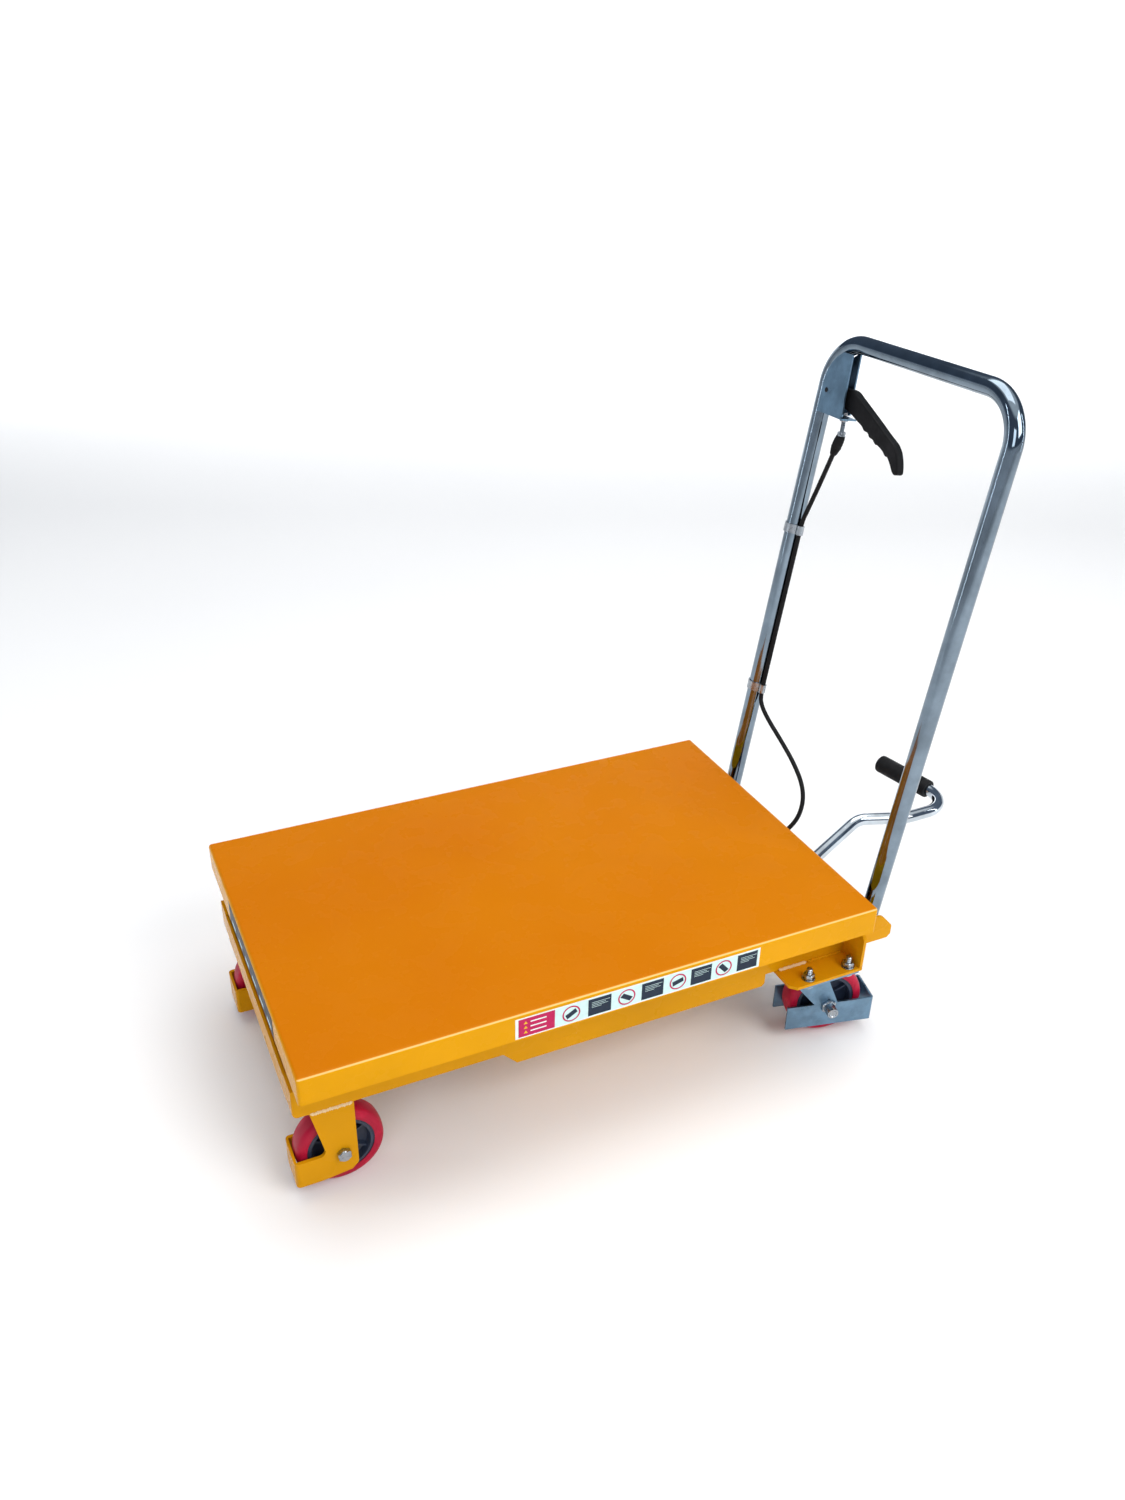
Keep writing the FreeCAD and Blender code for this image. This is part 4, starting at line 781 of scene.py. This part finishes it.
# the near label, in millimetres from its first end and up from the ground
LABEL_START, LABEL_END, LABEL_LOW, LABEL_HIGH = -117.7, 185.0, 187.0, 214.5
FIELD_EDGE = 1.6
LABEL_BLOCK = (3.5, 45.6)
MARK_START = 11.8
PANELS = ((85.1, 112.8), (150.2, 177.4), (212.4, 238.8), (272.7, 299.2))
PANEL_EDGE = 2.4
LINE_SHARES = (0.78, 0.6, 0.7, 0.42)  # of the panel's width
RINGS = ((65.0, 35), (131.8, -30), (195.7, 20), (254.8, -45))  # middle, and turn of its shape in degrees
RING_RADIUS = 10.6
LABEL_SHAPE = ((-0.72, -0.26), (0.6, -0.34), (0.7, 0.2), (-0.6, 0.32))

patch("label_backing", rectangle(LABEL_START, LABEL_LOW, LABEL_END, LABEL_HIGH), 0.25, LABEL_WHITE)
field_low, field_high = LABEL_LOW + FIELD_EDGE, LABEL_HIGH - FIELD_EDGE
patch("label_field", rectangle(LABEL_START + 3, field_low, LABEL_END - 1.5, field_high), 0.35, LABEL_PALE)
block_start, block_end = (LABEL_START + spot for spot in LABEL_BLOCK)
patch("label_block", rectangle(block_start, field_low, block_end, field_high), 0.45, LABEL_MAGENTA)
for row in range(3):
    u, v = LABEL_START + MARK_START, LABEL_HIGH - 9.0 - row * 6.4
    patch("label_mark_%d" % row, [(u - 2.2, v), (u + 2.2, v), (u, v + 3.6)], 0.55, LABEL_YELLOW)
    patch("label_dash_%d" % row, rectangle(u + 5.5, v + 0.9, u + 24, v + 2.5), 0.55, LABEL_WHITE)
for number, (start, end) in enumerate(PANELS):
    panel_start, panel_end = LABEL_START + start, LABEL_START + end
    panel = rectangle(panel_start, LABEL_LOW + PANEL_EDGE, panel_end, LABEL_HIGH - PANEL_EDGE)
    patch("label_panel_%d" % number, panel, 0.45, LABEL_DARK)
    for row, share in enumerate(LINE_SHARES):
        u, v = panel_start + 4.3, LABEL_HIGH - 7.6 - row * 2.2
        bar = rectangle(u, v, u + share * (panel_end - panel_start), v + 0.45)
        patch("label_line_%d_%d" % (number, row), bar, 0.55, LABEL_PALE)
for number, (spot, lean) in enumerate(RINGS):
    middle = (LABEL_START + spot, (LABEL_LOW + LABEL_HIGH) / 2)
    ring_patch("label_ring_%d" % number, middle, RING_RADIUS, 1.7, 0.5, LABEL_MAGENTA)
    shape = turned(LABEL_SHAPE, middle, RING_RADIUS, math.radians(lean))
    patch("label_shape_%d" % number, shape, 0.45, LABEL_DARK)


def end_place(u, v, w):
    """A point of the front end skirt."""
    return at(-350 - w, u, v)


patch("end_label_backing", rectangle(-122, 186.8, 101, 214.5), 0.25, LABEL_DARK, end_place)
for number in range(6):
    start = -112 + number * 36
    patch("end_label_mark_%d" % number, rectangle(start, 191, start + 20, 196), 0.35, LABEL_PALE, end_place)

# ---------------------------------------------------------------- floor and light
FLOOR = Shader("studio_floor")
FLOOR.set(Base_Color=FLOOR.ramp(FLOOR.noise(0.7, 2), 0.93, 0.96), Roughness=0.85, Specular_IOR_Level=0.2)


def backdrop():
    """A floor that sweeps up behind the cart in one curve."""
    near, far, bend, top_z, half_width, drop = -6.0, 5.0, 1.2, 1.9, 9.0, 0.0002
    profile = [(near, 0.0), (far, 0.0)]
    for step in range(1, 13):
        angle = math.radians(step * 7.5)
        profile.append((far + bend * math.sin(angle), bend - bend * math.cos(angle)))
    profile.append((far + bend, top_z))
    across = Vector((math.cos(YAW), -math.sin(YAW), 0))
    ahead = Vector((math.sin(YAW), math.cos(YAW), 0))
    verts, faces = [], []
    for u in (-half_width, half_width):
        for v, z in profile:
            verts.append(across * u + ahead * v + Vector((0, 0, z - drop)))
    count = len(profile)
    for index in range(count - 1):
        faces.append((index, index + 1, count + index + 1, count + index))
    mesh = bpy.data.meshes.new("studio_sweep")
    mesh.from_pydata([tuple(v) for v in verts], [], faces)
    mesh.shade_smooth()
    mesh.materials.append(FLOOR.material)
    sweep = bpy.data.objects.new("studio_sweep", mesh)
    scene.collection.objects.link(sweep)


backdrop()


def light(name, spot, target, size, power, colour):
    """A soft rectangular lamp at spot, aimed at target; size in metres, power in watts."""
    data = bpy.data.lights.new(name, "AREA")
    data.shape = "RECTANGLE"
    data.size, data.size_y = size
    data.energy = power
    data.color = colour
    lamp = bpy.data.objects.new(name, data)
    scene.collection.objects.link(lamp)
    spot, target = Vector(spot), Vector(target)
    aim = (target - spot).to_track_quat("-Z", "Y")
    lamp.matrix_world = Matrix.Translation(spot) @ aim.to_matrix().to_4x4()


light("key", (1.2, -2.8, 2.6), (0, 0, 0.2), (2.2, 2.2), 72, (1.0, 0.98, 0.95))
light("fill", (-1.9, -2.7, 1.8), (0.1, 0, 0.4), (1.5, 1.5), 20, (0.96, 0.98, 1.0))
light("strip_left", (-2.4, 0.9, 1.1), (0.3, 0, 0.6), (0.07, 2.0), 6, (0.93, 0.97, 1.0))
light("strip_right", (2.4, -1.2, 1.1), (0.3, 0, 0.5), (0.07, 2.0), 6, (0.93, 0.97, 1.0))
light("over", (0.2, 0.4, 3.0), (0, 0, 0), (2.2, 2.2), 36, (1.0, 0.97, 0.94))
light("back", (1.6, 3.4, 2.6), (2.7, 5.7, 0.8), (7.0, 1.0), 190, (1.0, 1.0, 1.0))


def studio_world():
    """A pale ground, dim blue-grey walls and a bright ceiling, to show in the chrome."""
    world = bpy.data.worlds.new("studio")
    scene.world = world
    world.use_nodes = True
    tree = world.node_tree
    background = tree.nodes["Background"]
    place = tree.nodes.new("ShaderNodeTexCoord").outputs["Generated"]
    apart = tree.nodes.new("ShaderNodeSeparateXYZ")
    tree.links.new(place, apart.inputs["Vector"])
    height = tree.nodes.new("ShaderNodeValToRGB")
    tones = (
        (0.0, (0.75, 0.76, 0.78)),
        (0.50, (0.55, 0.58, 0.63)),
        (0.53, (0.10, 0.13, 0.18)),
        (0.84, (0.13, 0.16, 0.21)),
        (0.90, (0.95, 0.98, 1.0)),
        (1.0, (1.1, 1.1, 1.1)),
    )
    elements = height.color_ramp.elements
    while len(elements) < len(tones):
        elements.new(0.5)
    for element, (spot, tone) in zip(elements, tones):
        element.position = spot
        element.color = (*tone, 1)
    half = tree.nodes.new("ShaderNodeMath")
    half.operation = "MULTIPLY_ADD"
    half.inputs[1].default_value = 0.5
    half.inputs[2].default_value = 0.5
    tree.links.new(apart.outputs["Z"], half.inputs[0])
    tree.links.new(half.outputs[0], height.inputs["Fac"])
    tree.links.new(height.outputs["Color"], background.inputs["Color"])
    background.inputs["Strength"].default_value = 1.0


studio_world()

# ---------------------------------------------------------------- end
bpy.context.view_layer.update()
